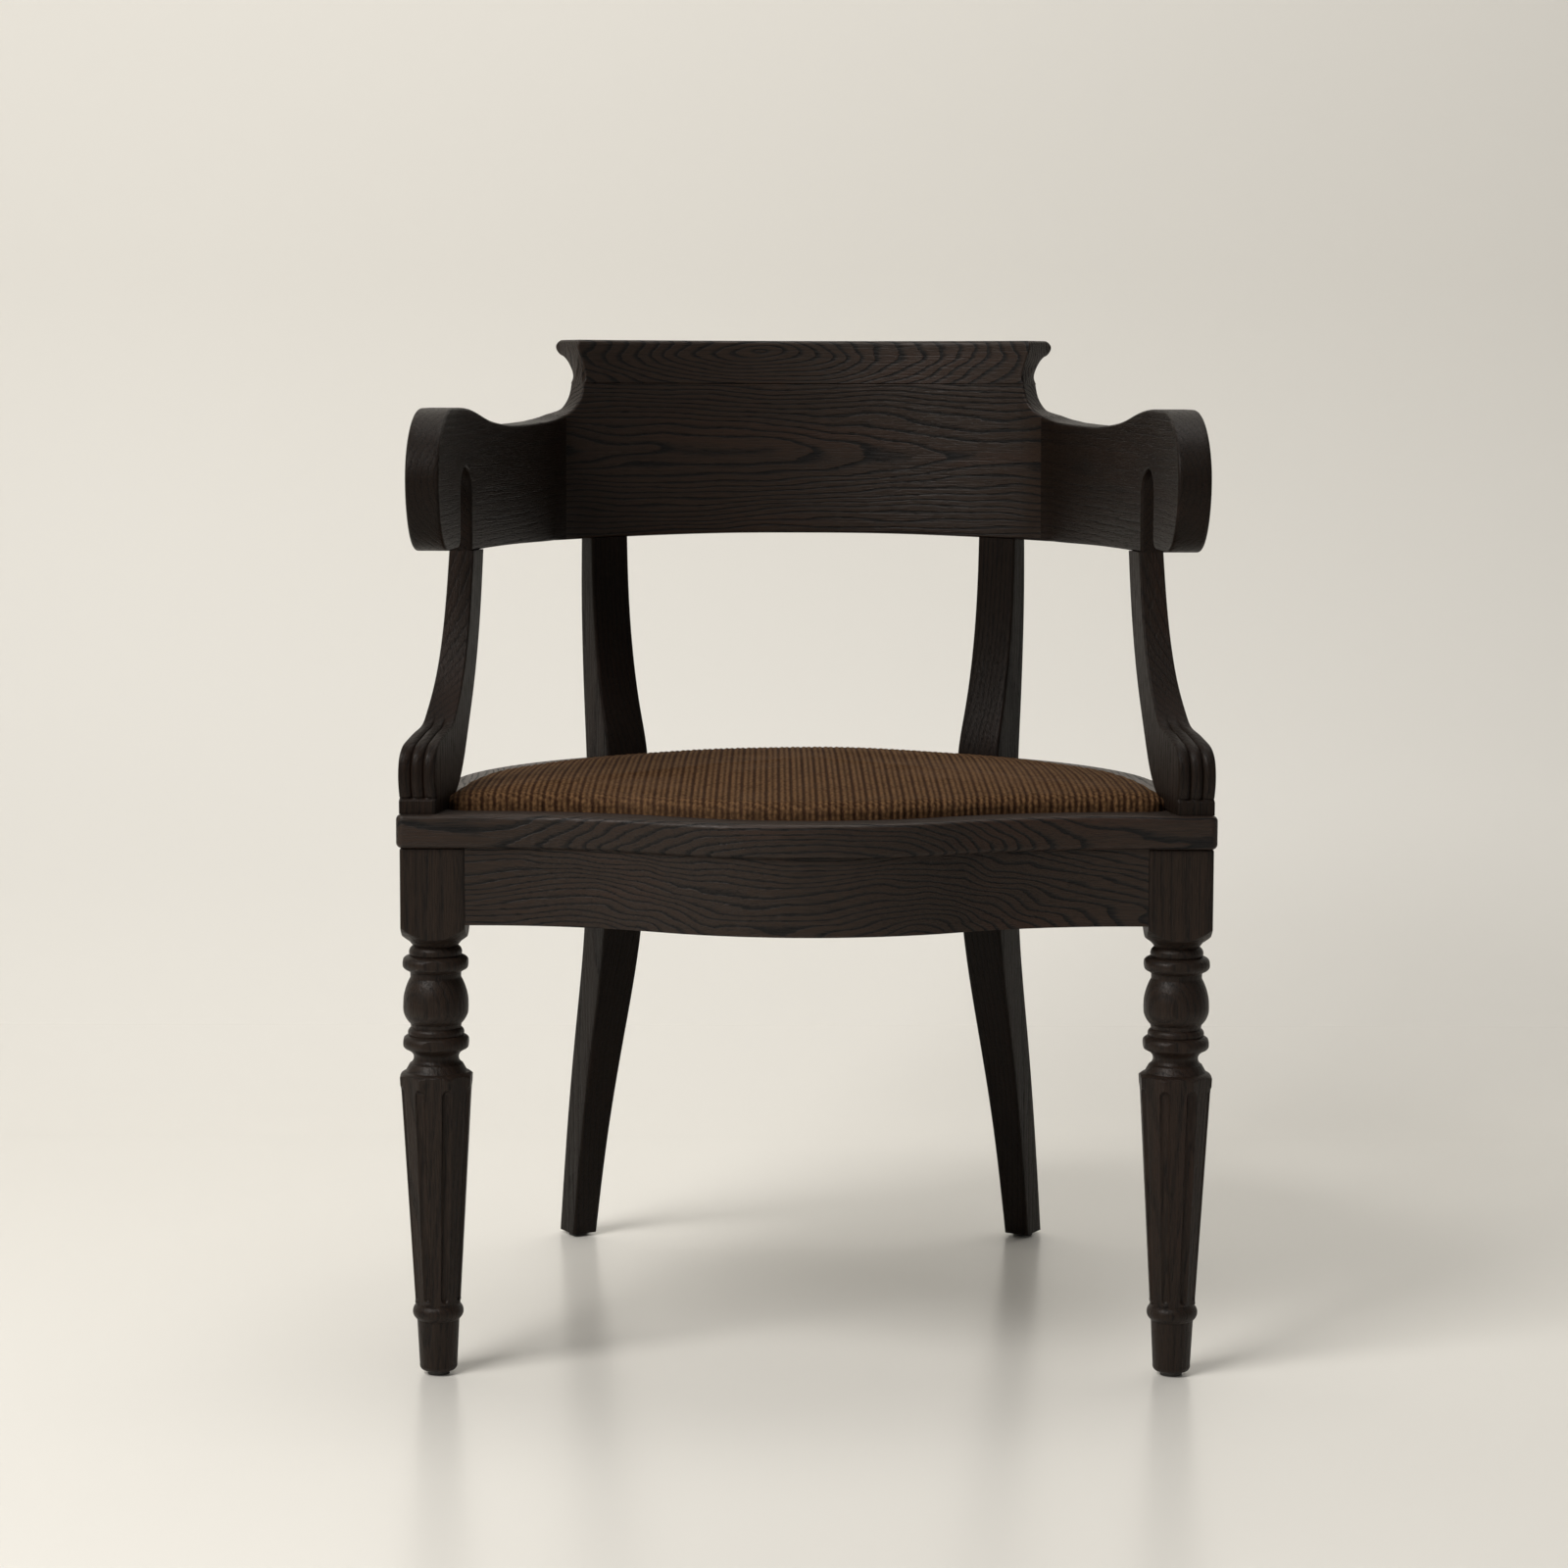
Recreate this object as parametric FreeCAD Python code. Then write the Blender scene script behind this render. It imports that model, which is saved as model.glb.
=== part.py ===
import FreeCAD, Part
import math
import os

V = FreeCAD.Vector

# Klismos armchair. Millimetres, Z up, X to the chair's left and right, front towards -Y.
# Every outline is drawn with Y = 0 on the front face of the leg blocks. The last step
# moves the finished chair so that the middle of its depth lies on Y = 0.

# Seat
SEAT_HALF = 310.0            # half width of the seat rim at the front corners
RIM_TOP = 436.0              # height of the rim's top face
RIM_THICK = 25.5
RIM_WIDTH = 44.0             # plan width of the rim band
RIM_OVER = 3.5               # how far the rim stands out over aprons and blocks
RIM_REBATE = 12.5            # depth of the rebate that takes the seat board
RIM_ROUND = 4.0              # rounding of the rim's outer edges
BACK_R = 291.0               # plan radius of the rim's back
BACK_CY = 216.0              # its centre, behind the front of the blocks
BOW = 62.0                   # how far the front bows out
BOW_HALF = 246.0             # half span of the bow
BOW_R = 235.0                # plan radius of the middle of the bow
APRON_H = 58.5
APRON_T = 22.0
FIT = 0.15                   # clearance round dowels, screws and boards

# Front legs
BLOCK = 49.0                 # square block at the top of the leg
BLOCK_DROP = 64.5            # height of that block
LEG_X = 282.4                # middle of the block
SHOULDER_DROP = 120.0        # top of the fluted taper, below the block
TAPER_TOP = 53.2             # across the flats at the shoulder
TAPER_LOW = 34.0             # across the flats above the ankle ring
TAPER_LOW_Z = 56.5
FLUTES = 8
FLUTE_R = 5.0                # radius of the fluting cutter
FLUTE_DEPTH = 3.2            # depth at the corners of the octagon
GLIDE_D = 16.8
GLIDE_H = 3.0

# Rear legs: one timber, its plane turned out from the Y axis
POST_X = 161.0
POST_Y = 432.0
POST_TURN = 30.0             # degrees
POST_DEPTH = 43.2            # along the leg's plane, at the seat
POST_WIDTH = 38.8            # across it, at the seat

# Horseshoe rail, plan of its inner face
RAIL_T = 25.0
RAIL_CY = 158.0
RAIL_R = 330.0
RAIL_TURN = 34.5             # degrees from the Y axis to the end of the back arc
CORNER_R = 60.0
ARM_FLARE = 10.0             # degrees that the arm opens out behind
ARM_RUN = 257.0              # straight part of the arm
ARM_SWEEP_R = 785.0
TIP_FLARE = 3.2              # degrees that the arm opens out at its tip
TIP_Y = -38.0
RAIL_BOTTOM = 629.0
RAIL_DIP = 3.6               # the lower edge drops this far in the corners
JOINT_TURN = 57.0            # where the arms are jointed to the back rail
CREASE_Z = 758.6             # top of the back rail, under the tablet
ARM_TOP = 740.0
ARM_WAIST = 725.0
TABLET_TOP = 796.0
TABLET_T = 43.0              # thickness over the rolled top
NOSE_R = 6.8
NOTCH_X = 187.0              # waist of the notch on the inner face
NOTCH_TURN = 30.0

# Arm ends
DISC_Z = 687.0               # middle of the lower front quarter
DISC_Y = 16.0
DISC_R = 53.5
SLOT_FRONT = 76.0
SLOT_BACK = 117.0
SLOT_TOP = 694.0

# Arm supports: a slab between two upright planes, cut to an S in side view
SUPPORT_IN = 280.0           # inner face at the front
SUPPORT_OUT = 308.5          # outer face at the front
SUPPORT_IN_SLOPE = 0.18
SUPPORT_OUT_SLOPE = 0.259
REED_DEPTH = 2.2

# Upholstered seat
COVER_INSET = 31.0           # from the rim's outer edge to the cloth
CORNER_ROUND = 20.0
CROWN_TOP = 460.0
CROWN_RISE = 10.5
EDGE_ROUND = 10.0
CLOTH_T = 2.2
BOARD_T = 12.0

# Fixings
DOWEL_R = 5.0
DOWEL_L = 40.0
SCREW_R = 2.2
SCREW_HEAD_R = 4.4

rim_low = RIM_TOP - RIM_THICK
apron_low = rim_low - APRON_H
block_low = rim_low - BLOCK_DROP


def polar(radius, turn, z=0.0):
    """Point at a plan radius, turned from the Y axis towards +X."""
    a = math.radians(turn)
    return V(radius * math.sin(a), radius * math.cos(a), z)


def line(a, b):
    return Part.LineSegment(a, b).toShape()


def arc(a, b, c):
    return Part.Arc(a, b, c).toShape()


def turn_arc(centre, radius, start, end):
    """Plan arc between two angles from the Y axis."""
    middle = (start + end) / 2
    return arc(centre + polar(radius, start), centre + polar(radius, middle), centre + polar(radius, end))


def flip(shape):
    return shape.mirror(V(0, 0, 0), V(1, 0, 0))


def closed(edges):
    return Part.Wire(Part.__sortEdges__(edges))


def upright(edges, low, high):
    """Prism between two heights over a plan outline."""
    face = Part.Face(closed(edges))
    face.translate(V(0, 0, low))
    return face.extrude(V(0, 0, high - low))


def block(x0, x1, y0, y1, z0, z1):
    return Part.makeBox(x1 - x0, y1 - y0, z1 - z0, V(x0, y0, z0))


def rod(start, end, radius):
    return Part.makeCylinder(radius, (end - start).Length, start, end - start)


def joined(shapes):
    """One solid from pieces that touch or cross."""
    whole = shapes[0].fuse(shapes[1:]) if len(shapes) > 1 else shapes[0]
    return whole.removeSplitter()


def chain(start, path):
    """Edges through corners (2 numbers) and three-point arcs (4 numbers) in the YZ plane."""
    edges = []
    here = V(0, start[0], start[1])
    for step in path:
        there = V(0, step[-2], step[-1])
        if len(step) == 4:
            edges.append(arc(here, V(0, step[0], step[1]), there))
        else:
            edges.append(line(here, there))
        here = there
    return edges, here


def smooth(points, first=None, last=None):
    """Smooth curve through points, with end directions where they are given."""
    curve = Part.BSplineCurve()
    if first is None:
        curve.interpolate(Points=points)
    else:
        curve.interpolate(Points=points, InitialTangent=first, FinalTangent=last)
    return curve.toShape()


# Seat outline

bow_hollow = (BOW_HALF ** 2 + BOW ** 2) / (2 * BOW) - BOW_R
bow_centre = V(0, BOW_R - BOW, 0)
hollow_centre = V(BOW_HALF, -bow_hollow, 0)
back_centre = V(0, BACK_CY, 0)
corner = V(SEAT_HALF, -RIM_OVER, 0)
reach = corner - back_centre
side_angle = math.atan2(reach.y, reach.x) + math.acos(BACK_R / reach.Length)
side_normal = V(math.cos(side_angle), math.sin(side_angle), 0)


def side_x(d, y):
    """X of the rim's straight side, set out by d, at a depth y."""
    foot = back_centre + side_normal * (BACK_R + d)
    return foot.x - (y - foot.y) * side_normal.y / side_normal.x


def half_outline(d, rounding):
    """Right half of the rim's outline set out by d (negative is inwards)."""
    radius = BOW_R + RIM_OVER + d
    hollow = bow_hollow - RIM_OVER - d
    front = -RIM_OVER - d
    start = bow_centre + V(0, -radius, 0)
    lean = math.atan2(hollow_centre.x, bow_centre.y - hollow_centre.y)
    meet = bow_centre + V(math.sin(lean), -math.cos(lean), 0) * radius
    middle = bow_centre + V(math.sin(lean / 2), -math.cos(lean / 2), 0) * radius
    level = V(BOW_HALF, front, 0)
    dip = hollow_centre + V(-math.sin(lean / 2), math.cos(lean / 2), 0) * hollow
    tip = V(side_x(d, front), front, 0)
    touch = back_centre + side_normal * (BACK_R + d)
    rear = back_centre + V(0, BACK_R + d, 0)
    half = math.acos(V(-1, 0, 0).dot((touch - tip).normalize())) / 2
    back = rounding / math.tan(half)
    a = tip + V(-back, 0, 0)
    b = tip + (touch - tip).normalize() * back
    inward = ((a - tip).normalize() + (b - tip).normalize()).normalize()
    m = tip + inward * (rounding / math.sin(half) - rounding)
    between = (math.pi / 2 - side_angle) / 2 + side_angle
    far = back_centre + V(math.cos(between), math.sin(between), 0) * (BACK_R + d)
    return [arc(start, middle, meet), arc(meet, dip, level), line(level, a), arc(a, m, b),
            line(b, touch), arc(touch, far, rear)]


def outline(d, rounding):
    half = half_outline(d, rounding)
    return half + [flip(edge) for edge in half]


def band(outer, inner, low, high, rounding):
    """Ring between two insets of the rim's outline."""
    hole = upright(outline(inner, max(rounding - (outer - inner), 2.0)), low - 1, high + 1)
    return upright(outline(outer, rounding), low, high).cut(hole)


# Front legs

SIDES = 8


def turned(path, top):
    """Turned solid on the Z axis; its path holds radii and drops below a height."""
    points = []
    for step in path:
        points.append(tuple(v if i % 2 == 0 else top - v for i, v in enumerate(step)))
    edges, end = chain(points[0], points[1:])
    edges.append(line(end, V(0, points[0][0], points[0][1])))
    return Part.Face(closed(edges)).revolve(V(0, 0, 0), V(0, 0, 1), 360)


def octagon(flats, z):
    """Octagon with its flats to the front and the sides."""
    radius = flats / 2 / math.cos(math.pi / SIDES)
    points = [polar(radius, 360 / SIDES * (k + 0.5), z) for k in range(SIDES)]
    return Part.makePolygon(points + [points[0]])


def flats_at(z):
    shoulder = block_low - SHOULDER_DROP
    return TAPER_LOW + (TAPER_TOP - TAPER_LOW) * (z - TAPER_LOW_Z) / (shoulder - TAPER_LOW_Z)


def flute(k):
    """Rounded channel along one corner of the taper, narrower towards the foot."""
    high = block_low - SHOULDER_DROP - FLUTE_R
    low = TAPER_LOW_Z + FLUTE_R
    turn = 360 / FLUTES * (k + 0.5)
    small = FLUTE_R * 0.72
    r_high = flats_at(high) / 2 / math.cos(math.pi / SIDES) + FLUTE_R - FLUTE_DEPTH
    r_low = flats_at(low) / 2 / math.cos(math.pi / SIDES) + small - FLUTE_DEPTH * 0.72
    a = polar(r_high, turn, high)
    b = polar(r_low, turn, low)
    cone = Part.makeCone(FLUTE_R, small, (b - a).Length, a, b - a)
    return joined([cone, Part.makeSphere(FLUTE_R, a)])


def front_leg():
    """Block, turned neck, vase and rings, fluted taper, ankle ring and foot."""
    half = BLOCK / 2
    head = turned([(0, -BLOCK_DROP), (half * 1.5, -BLOCK_DROP), (half * 1.5, -7), (29.6, 1.4, 20, 9),
                   (17.1, 12.6), (18.2, 13.4), (20.2, 18, 19.5, 20.4), (25.7, 25.6, 21.6, 31.6),
                   (19.4, 33.2), (19.3, 37), (24.1, 49.6, 25.1, 57.4), (24.0, 66, 19.6, 72.6), (19.0, 75.6),
                   (21.4, 78.6, 21.0, 81.6), (25.9, 86.4, 21.6, 92.8), (19.6, 94.2), (17.2, 98.8, 20.3, 103.6),
                   (23.5, 109.4), (23.5, 112), (0, 112)], block_low)
    neck = block_low - 12
    limit = joined([block(-half, half, -half, half, neck, rim_low),
                    Part.makeCylinder(half * 2, 120, V(0, 0, neck - 120))])
    head = head.common(limit)
    high = block_low - 109.4
    shaft = Part.makeLoft([octagon(flats_at(high), high), octagon(TAPER_LOW, TAPER_LOW_Z)], True, True)
    collar = turned([(0, 105), (23.5, 105), (23.5, 109.4), (24.1, 110.6), (30, 116.6), (30, 330), (0, 330)], block_low)
    shaft = shaft.common(collar)
    shaft = shaft.cut([flute(k) for k in range(FLUTES)])
    low = TAPER_LOW / 2
    foot = turned([(0, 0), (low, 0), (low + 0.3, 2), (low + 2.5, 7.2, low + 0.3, 12.3), (low - 0.8, 13.4),
                   (low - 2.6, 48.5), (low - 3.4, 52, low - 6.5, TAPER_LOW_Z - GLIDE_H),
                   (0, TAPER_LOW_Z - GLIDE_H)], TAPER_LOW_Z)
    leg = joined([head, shaft, foot])
    leg.translate(V(LEG_X, half, 0))
    return leg


# Rear legs

post_plane = polar(1, POST_TURN)
post_side = V(post_plane.y, -post_plane.x, 0)
post_foot = V(POST_X, POST_Y, 0)

# height, how far out along the leg's plane, depth along it and width across it
upper = RAIL_BOTTOM - RIM_TOP
POST = [
    (GLIDE_H, 77.2, 28.4, 23.1),
    (rim_low * 0.248, 57.0, 31.3, 27.3),
    (rim_low * 0.463, 33.6, 35.5, 32.3),
    (rim_low * 0.675, 10.6, 39.5, 36.5),
    (rim_low * 0.828, 2.0, POST_DEPTH - 1.2, POST_WIDTH - 0.6),
    (rim_low * 0.974, -1.0, POST_DEPTH, POST_WIDTH),
    (RIM_TOP + upper * 0.036, 0.8, POST_DEPTH, POST_WIDTH),
    (RIM_TOP + upper * 0.212, 8.0, 37.0, 37.5),
    (RIM_TOP + upper * 0.394, 14.6, 31.0, 36.4),
    (RIM_TOP + upper * 0.741, 21.4, 24.5, 35.3),
    (RIM_TOP + upper * 1.02, 22.6, 21.6, 34.9),
]


def post_profile(pick, away, through):
    """Sawn blank of the rear leg: its outline in one view, cut straight through."""
    left = []
    right = []
    for station in POST:
        middle, size = pick(station)
        up = V(0, 0, station[0])
        left.append(post_foot + away * (middle - size / 2) + up)
        right.append(post_foot + away * (middle + size / 2) + up)
    edges = [smooth(left), line(left[-1], right[-1]), smooth(right), line(right[0], left[0])]
    face = Part.Face(closed(edges))
    face.translate(through * -200)
    return face.extrude(through * 400)


def post_slot(inward, outward):
    """Upright slot for the rear leg at the seat, from inside to outside of it."""
    half = POST_WIDTH / 2 + FIT
    points = [post_foot + post_plane * a + post_side * b
              for a, b in ((-inward, -half), (outward, -half), (outward, half), (-inward, half))]
    return upright([line(p, q) for p, q in zip(points, points[1:] + points[:1])], 0, RAIL_BOTTOM)


def under_rail():
    """Space below the rail's lower edge, which dips a little in the corners."""
    points = [V(0, 0, RAIL_BOTTOM), V(105, 0, RAIL_BOTTOM - RAIL_DIP * 0.25),
              V(190, 0, RAIL_BOTTOM - RAIL_DIP * 0.9), V(208, 0, RAIL_BOTTOM - RAIL_DIP),
              V(228, 0, RAIL_BOTTOM - RAIL_DIP * 0.5), V(252, 0, RAIL_BOTTOM)]
    edge = smooth(points, V(1, 0, 0), V(1, 0, 0))
    half = [edge, line(points[-1], V(400, 0, RAIL_BOTTOM)), line(V(400, 0, RAIL_BOTTOM), V(400, 0, -5)),
            line(V(400, 0, -5), V(0, 0, -5)), line(V(0, 0, -5), points[0])]
    face = Part.Face(closed(half))
    face.translate(V(0, -150, 0))
    return face.extrude(V(0, 900, 0))


def rear_leg():
    """Sabre leg and back post in one timber."""
    blank = post_profile(lambda s: (s[1], s[2]), post_plane, post_side)
    blank = blank.common(post_profile(lambda s: (0, s[3]), post_side, post_plane))
    return blank.common(under_rail())


# Aprons and rim

joint_turn = math.degrees(math.atan2(POST_X, POST_Y - BACK_CY))
inner_edge = LEG_X - BLOCK / 2


def sector(start, end, low, high):
    """Wedge about the middle of the back between two angles from the Y axis."""
    far = 700
    points = [back_centre, back_centre + polar(far, start), back_centre + polar(far, (start + end) / 2),
              back_centre + polar(far, end), back_centre]
    face = Part.Face(Part.makePolygon(points))
    face.translate(V(0, 0, low))
    return face.extrude(V(0, 0, high - low))


def aprons():
    """Front, right side and back apron, butted to the leg blocks and rear legs."""
    leg = post_slot(60, 60)
    ring = band(-RIM_OVER, -RIM_OVER - APRON_T, apron_low, rim_low, 2.0)
    front = ring.common(block(-inner_edge, inner_edge, -200, BLOCK, 0, RIM_TOP))
    side = ring.common(block(0, 600, BLOCK, 600, 0, RIM_TOP))
    side = side.cut([sector(-90, joint_turn, 0, RIM_TOP), leg])
    side = max(side.Solids, key=lambda s: s.Volume)
    back = ring.common(sector(-joint_turn, joint_turn, 0, RIM_TOP)).cut([leg, flip(leg)])
    back = max(back.Solids, key=lambda s: s.Volume)
    return front, side, back


def rim_parts():
    """Front, right and back piece of the rim, mitred in front and butted to the rear legs."""
    leg = post_slot(60, 60)
    ring = band(0, -RIM_WIDTH, rim_low, RIM_TOP, 6.0)
    outer = [e for e in ring.Edges if abs(e.BoundBox.ZLength) < 0.01 and
             (e.BoundBox.XMax > SEAT_HALF - 1 or e.BoundBox.YMin < -1 or e.BoundBox.YMax > BACK_CY + BACK_R - 1
              or e.BoundBox.XMin < 1 - SEAT_HALF)]
    outline_box = [e for e in outer if e.Length > 1]
    ring = eased(ring, outline_box)
    ring = ring.cut(upright(outline(1 - COVER_INSET, CORNER_ROUND), RIM_TOP - RIM_REBATE, RIM_TOP + 5))
    inner = V(side_x(-RIM_WIDTH, RIM_WIDTH - RIM_OVER), RIM_WIDTH - RIM_OVER, 0)
    along = inner - corner
    a = corner - along
    b = inner + along
    mitre = Part.makePolygon([a, b, V(-b.x, b.y, 0), V(-a.x, a.y, 0), V(-a.x, -200, 0), V(a.x, -200, 0), a])
    mitre = Part.Face(mitre).extrude(V(0, 0, RIM_TOP + 20))
    front = ring.common(mitre)
    rest = ring.cut(mitre)
    side = rest.cut([sector(-joint_turn, joint_turn, 0, 600), block(-600, 0, -300, 900, 0, 600), leg])
    side = max(side.Solids, key=lambda s: s.Volume)
    back = rest.common(sector(-joint_turn, joint_turn, 0, 600)).cut([leg, flip(leg)])
    back = max(back.Solids, key=lambda s: s.Volume)
    return front, side, back


def eased(solid, edges):
    """The rim's outer edges, rounded above and below."""
    return solid.makeFillet(RIM_ROUND, edges)


# Horseshoe rail

rail_centre = V(0, RAIL_CY, 0)
bend_centre = rail_centre + polar(RAIL_R - CORNER_R, RAIL_TURN)
arm_normal = polar(1, 90 - ARM_FLARE)
arm_ahead = V(arm_normal.y, -arm_normal.x, 0)
arm_end = bend_centre + arm_normal * CORNER_R + arm_ahead * ARM_RUN
sweep_centre = arm_end - arm_normal * ARM_SWEEP_R
tip_normal = polar(1, 90 - TIP_FLARE)
tip_ahead = V(tip_normal.y, -tip_normal.x, 0)


def rail_edge(d):
    """Plan line of the rail set out from its inner face, from the middle of the back to the arm's tip."""
    p = bend_centre + arm_normal * (CORNER_R + d)
    q = arm_end + arm_normal * d
    s = sweep_centre + tip_normal * (ARM_SWEEP_R + d)
    tip = s + tip_ahead * ((TIP_Y - 6 - s.y) / tip_ahead.y)
    edges = [turn_arc(rail_centre, RAIL_R + d, 0, RAIL_TURN),
             turn_arc(bend_centre, CORNER_R + d, RAIL_TURN, 90 - ARM_FLARE),
             line(p, q), turn_arc(sweep_centre, ARM_SWEEP_R + d, 90 - ARM_FLARE, 90 - TIP_FLARE),
             line(s, tip)]
    return edges, tip


def arm_x(y, d):
    """X of the rail at a depth along the arm, set out from its inner face."""
    radius = ARM_SWEEP_R + d
    s = sweep_centre + tip_normal * radius
    q = arm_end + arm_normal * d
    if y < s.y:
        return s.x + (y - s.y) * tip_ahead.x / tip_ahead.y
    if y > q.y:
        return q.x + (y - q.y) * arm_ahead.x / arm_ahead.y
    return sweep_centre.x + math.sqrt(radius ** 2 - (y - sweep_centre.y) ** 2)


def arm_side():
    """Side view of the arm: scrolled end, slot and gently hollow top."""
    slot_r = (SLOT_BACK - SLOT_FRONT) / 2
    slot_y = (SLOT_BACK + SLOT_FRONT) / 2
    low = DISC_Z - DISC_R
    diag = DISC_R * math.sqrt(0.5)
    nose = V(0, DISC_Y - DISC_R, DISC_Z)
    heel = 11.0
    crest = V(0, DISC_Y + 24, ARM_TOP)
    curl = Part.Ellipse(nose, crest, V(0, crest.y, DISC_Z))
    start = V(0, DISC_Y, low)
    edges = [arc(start, V(0, DISC_Y - diag, DISC_Z - diag), nose),
             Part.ArcOfEllipse(curl, 0, math.pi / 2).toShape(),
             line(crest, V(0, SLOT_FRONT + 9, ARM_TOP)),
             smooth([V(0, SLOT_FRONT + 9, ARM_TOP), V(0, 138, ARM_TOP - 4), V(0, 175, ARM_TOP - 10),
                     V(0, 250, ARM_WAIST), V(0, 340, ARM_WAIST + 1)], V(0, 1, 0), V(0, 1, 0))]
    more, end = chain((340, ARM_WAIST + 1), [(340, 900), (700, 900), (700, 560), (SLOT_BACK, 560),
                                             (SLOT_BACK, SLOT_TOP - slot_r),
                                             (slot_y, SLOT_TOP, SLOT_FRONT, SLOT_TOP - slot_r),
                                             (SLOT_FRONT, low + heel),
                                             (SLOT_FRONT - heel * 0.29, low + heel * 0.29, SLOT_FRONT - heel, low),
                                             (DISC_Y, low)])
    face = Part.Face(closed(edges + more))
    face.translate(V(-10, 0, 0))
    return face.extrude(V(400, 0, 0))


notch_start = V(NOTCH_X, RAIL_CY + math.sqrt(RAIL_R ** 2 - NOTCH_X ** 2), 0)
notch_through = polar(1, NOTCH_TURN)
notch_along = V(notch_through.y, -notch_through.x, 0)


def notch(upper_part):
    """Cutter for the notch between crest and arm, or for the eared end of the tablet."""
    def at(s, z):
        return notch_start + notch_along * s + V(0, 0, z) - notch_through * 130
    if upper_part:
        points = [at(1.5, CREASE_Z), at(0, CREASE_Z + 5), at(1.5, CREASE_Z + 14), at(5.2, CREASE_Z + 25),
                  at(7.6, TABLET_TOP - 5), at(5.0, TABLET_TOP + 1)]
        first = smooth(points)
        rest = [points[-1], at(5.0, TABLET_TOP + 40), at(220, TABLET_TOP + 40), at(220, CREASE_Z), points[0]]
    else:
        points = [at(78, ARM_WAIST + 1), at(40, ARM_WAIST + 3.4), at(11.8, ARM_WAIST + 12),
                  at(3.8, ARM_WAIST + 27), at(1.4, CREASE_Z + 0.5)]
        first = smooth(points)
        rest = [points[-1], at(1.4, CREASE_Z + 60), at(125, CREASE_Z + 60), at(125, ARM_WAIST + 1), points[0]]
    edges = [first] + [line(a, b) for a, b in zip(rest, rest[1:])]
    return Part.Face(closed(edges)).extrude(notch_through * 300)


def horseshoe():
    """Right half of the rail, then its back part (both halves) and its right arm."""
    inner, tip_in = rail_edge(0)
    outer, tip_out = rail_edge(RAIL_T)
    ends = [line(tip_in, tip_out), line(rail_centre + V(0, RAIL_R, 0), rail_centre + V(0, RAIL_R + RAIL_T, 0))]
    half = upright(inner + outer + ends, RAIL_BOTTOM - 20, CREASE_Z)
    half = half.common(arm_side()).cut([notch(False), under_rail()])
    far = 500
    joint = Part.makePolygon([bend_centre, bend_centre + polar(far, JOINT_TURN), bend_centre + V(far, -far, 0),
                              bend_centre + V(0, -far, 0), bend_centre])
    joint = Part.Face(joint).extrude(V(0, 0, CREASE_Z + 50))
    arm = half.common(joint)
    arm = max(arm.Solids, key=lambda s: s.Volume)
    back = half.cut(joint)
    back = max(back.Solids, key=lambda s: s.Volume)
    return joined([back, flip(back)]), arm


def tablet():
    """Crest tablet: a rolled-over top on the rail's curve, eared at both ends."""
    lip = 3.6
    groove = 0.8
    nose_t = TABLET_T - NOSE_R
    nose_low = TABLET_TOP - 2 * NOSE_R
    edges, end = chain((groove, CREASE_Z), [(0, CREASE_Z + groove), (0, TABLET_TOP - lip),
                                            (lip * 0.29, TABLET_TOP - lip * 0.29, lip, TABLET_TOP),
                                            (nose_t, TABLET_TOP),
                                            (TABLET_T, TABLET_TOP - NOSE_R, nose_t, nose_low),
                                            (RAIL_T + 4.4, nose_low - 5, RAIL_T, nose_low - 16),
                                            (RAIL_T, CREASE_Z), (groove, CREASE_Z)])
    face = Part.Face(closed(edges))
    face.translate(V(0, RAIL_CY + RAIL_R, 0))
    reach = RAIL_TURN + 8
    face.rotate(rail_centre, V(0, 0, 1), -reach)
    solid = face.revolve(rail_centre, V(0, 0, 1), 2 * reach)
    ends = notch(True)
    return solid.cut([ends, flip(ends)])


# Arm supports

def support_side(shift, low):
    """Side view of the support: S-shaped stem, heel and rolled knee."""
    top = RAIL_BOTTOM + shift
    z = RIM_TOP + shift
    y = shift
    knee = [V(0, y + 54.6, z + 64), V(0, y + 38, z + 59.6), V(0, y + 22.5, z + 55.4), V(0, y + 11, z + 51),
            V(0, y + 4.6, z + 44.5), V(0, y + 1.4, z + 34), V(0, y + 1.2, z + 24), V(0, y + 3.6, z + 12)]
    stem = [V(0, y + SLOT_BACK, top), V(0, y + 109.3, z + 158.4), V(0, y + 98.3, z + 124),
            V(0, y + 80.5, z + 90.7), V(0, y + 66.5, z + 74), knee[0]]
    heel = [V(0, y + 44, z), V(0, y + 64, z + 10.6), V(0, y + 76.8, z + 21.2), V(0, y + 98.6, z + 54),
            V(0, y + 117, z + 87.7), V(0, y + 131, z + 122), V(0, y + 141, z + 156.6), V(0, y + 148.4, top)]
    foot = V(0, y + 3.6, low)
    edges = [smooth(stem), smooth(knee), line(knee[-1], foot), line(foot, V(0, heel[0].y, low)), smooth(heel),
             line(heel[-1], stem[0])]
    if low < z - 0.001:
        edges.insert(4, line(V(0, heel[0].y, low), heel[0]))
    face = Part.Face(closed(edges))
    face.translate(V(200, 0, 0))
    return face.extrude(V(200, 0, 0))


def support_slab(low_share, high_share):
    """Upright slab between the support's inner and outer planes, or a share of its width."""
    def x_at(share, y):
        inner = SUPPORT_IN - SUPPORT_IN_SLOPE * y
        outer = SUPPORT_OUT - SUPPORT_OUT_SLOPE * y
        return inner + (outer - inner) * share
    a, b = -60, 230
    points = [V(x_at(low_share, a), a, 0), V(x_at(high_share, a), a, 0), V(x_at(high_share, b), b, 0),
              V(x_at(low_share, b), b, 0)]
    return upright([line(p, q) for p, q in zip(points, points[1:] + points[:1])], 300, 800)


REEDS = 3
QUIRK = 0.075                # width of the quirks between the reeds, as a share of the knee


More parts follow.
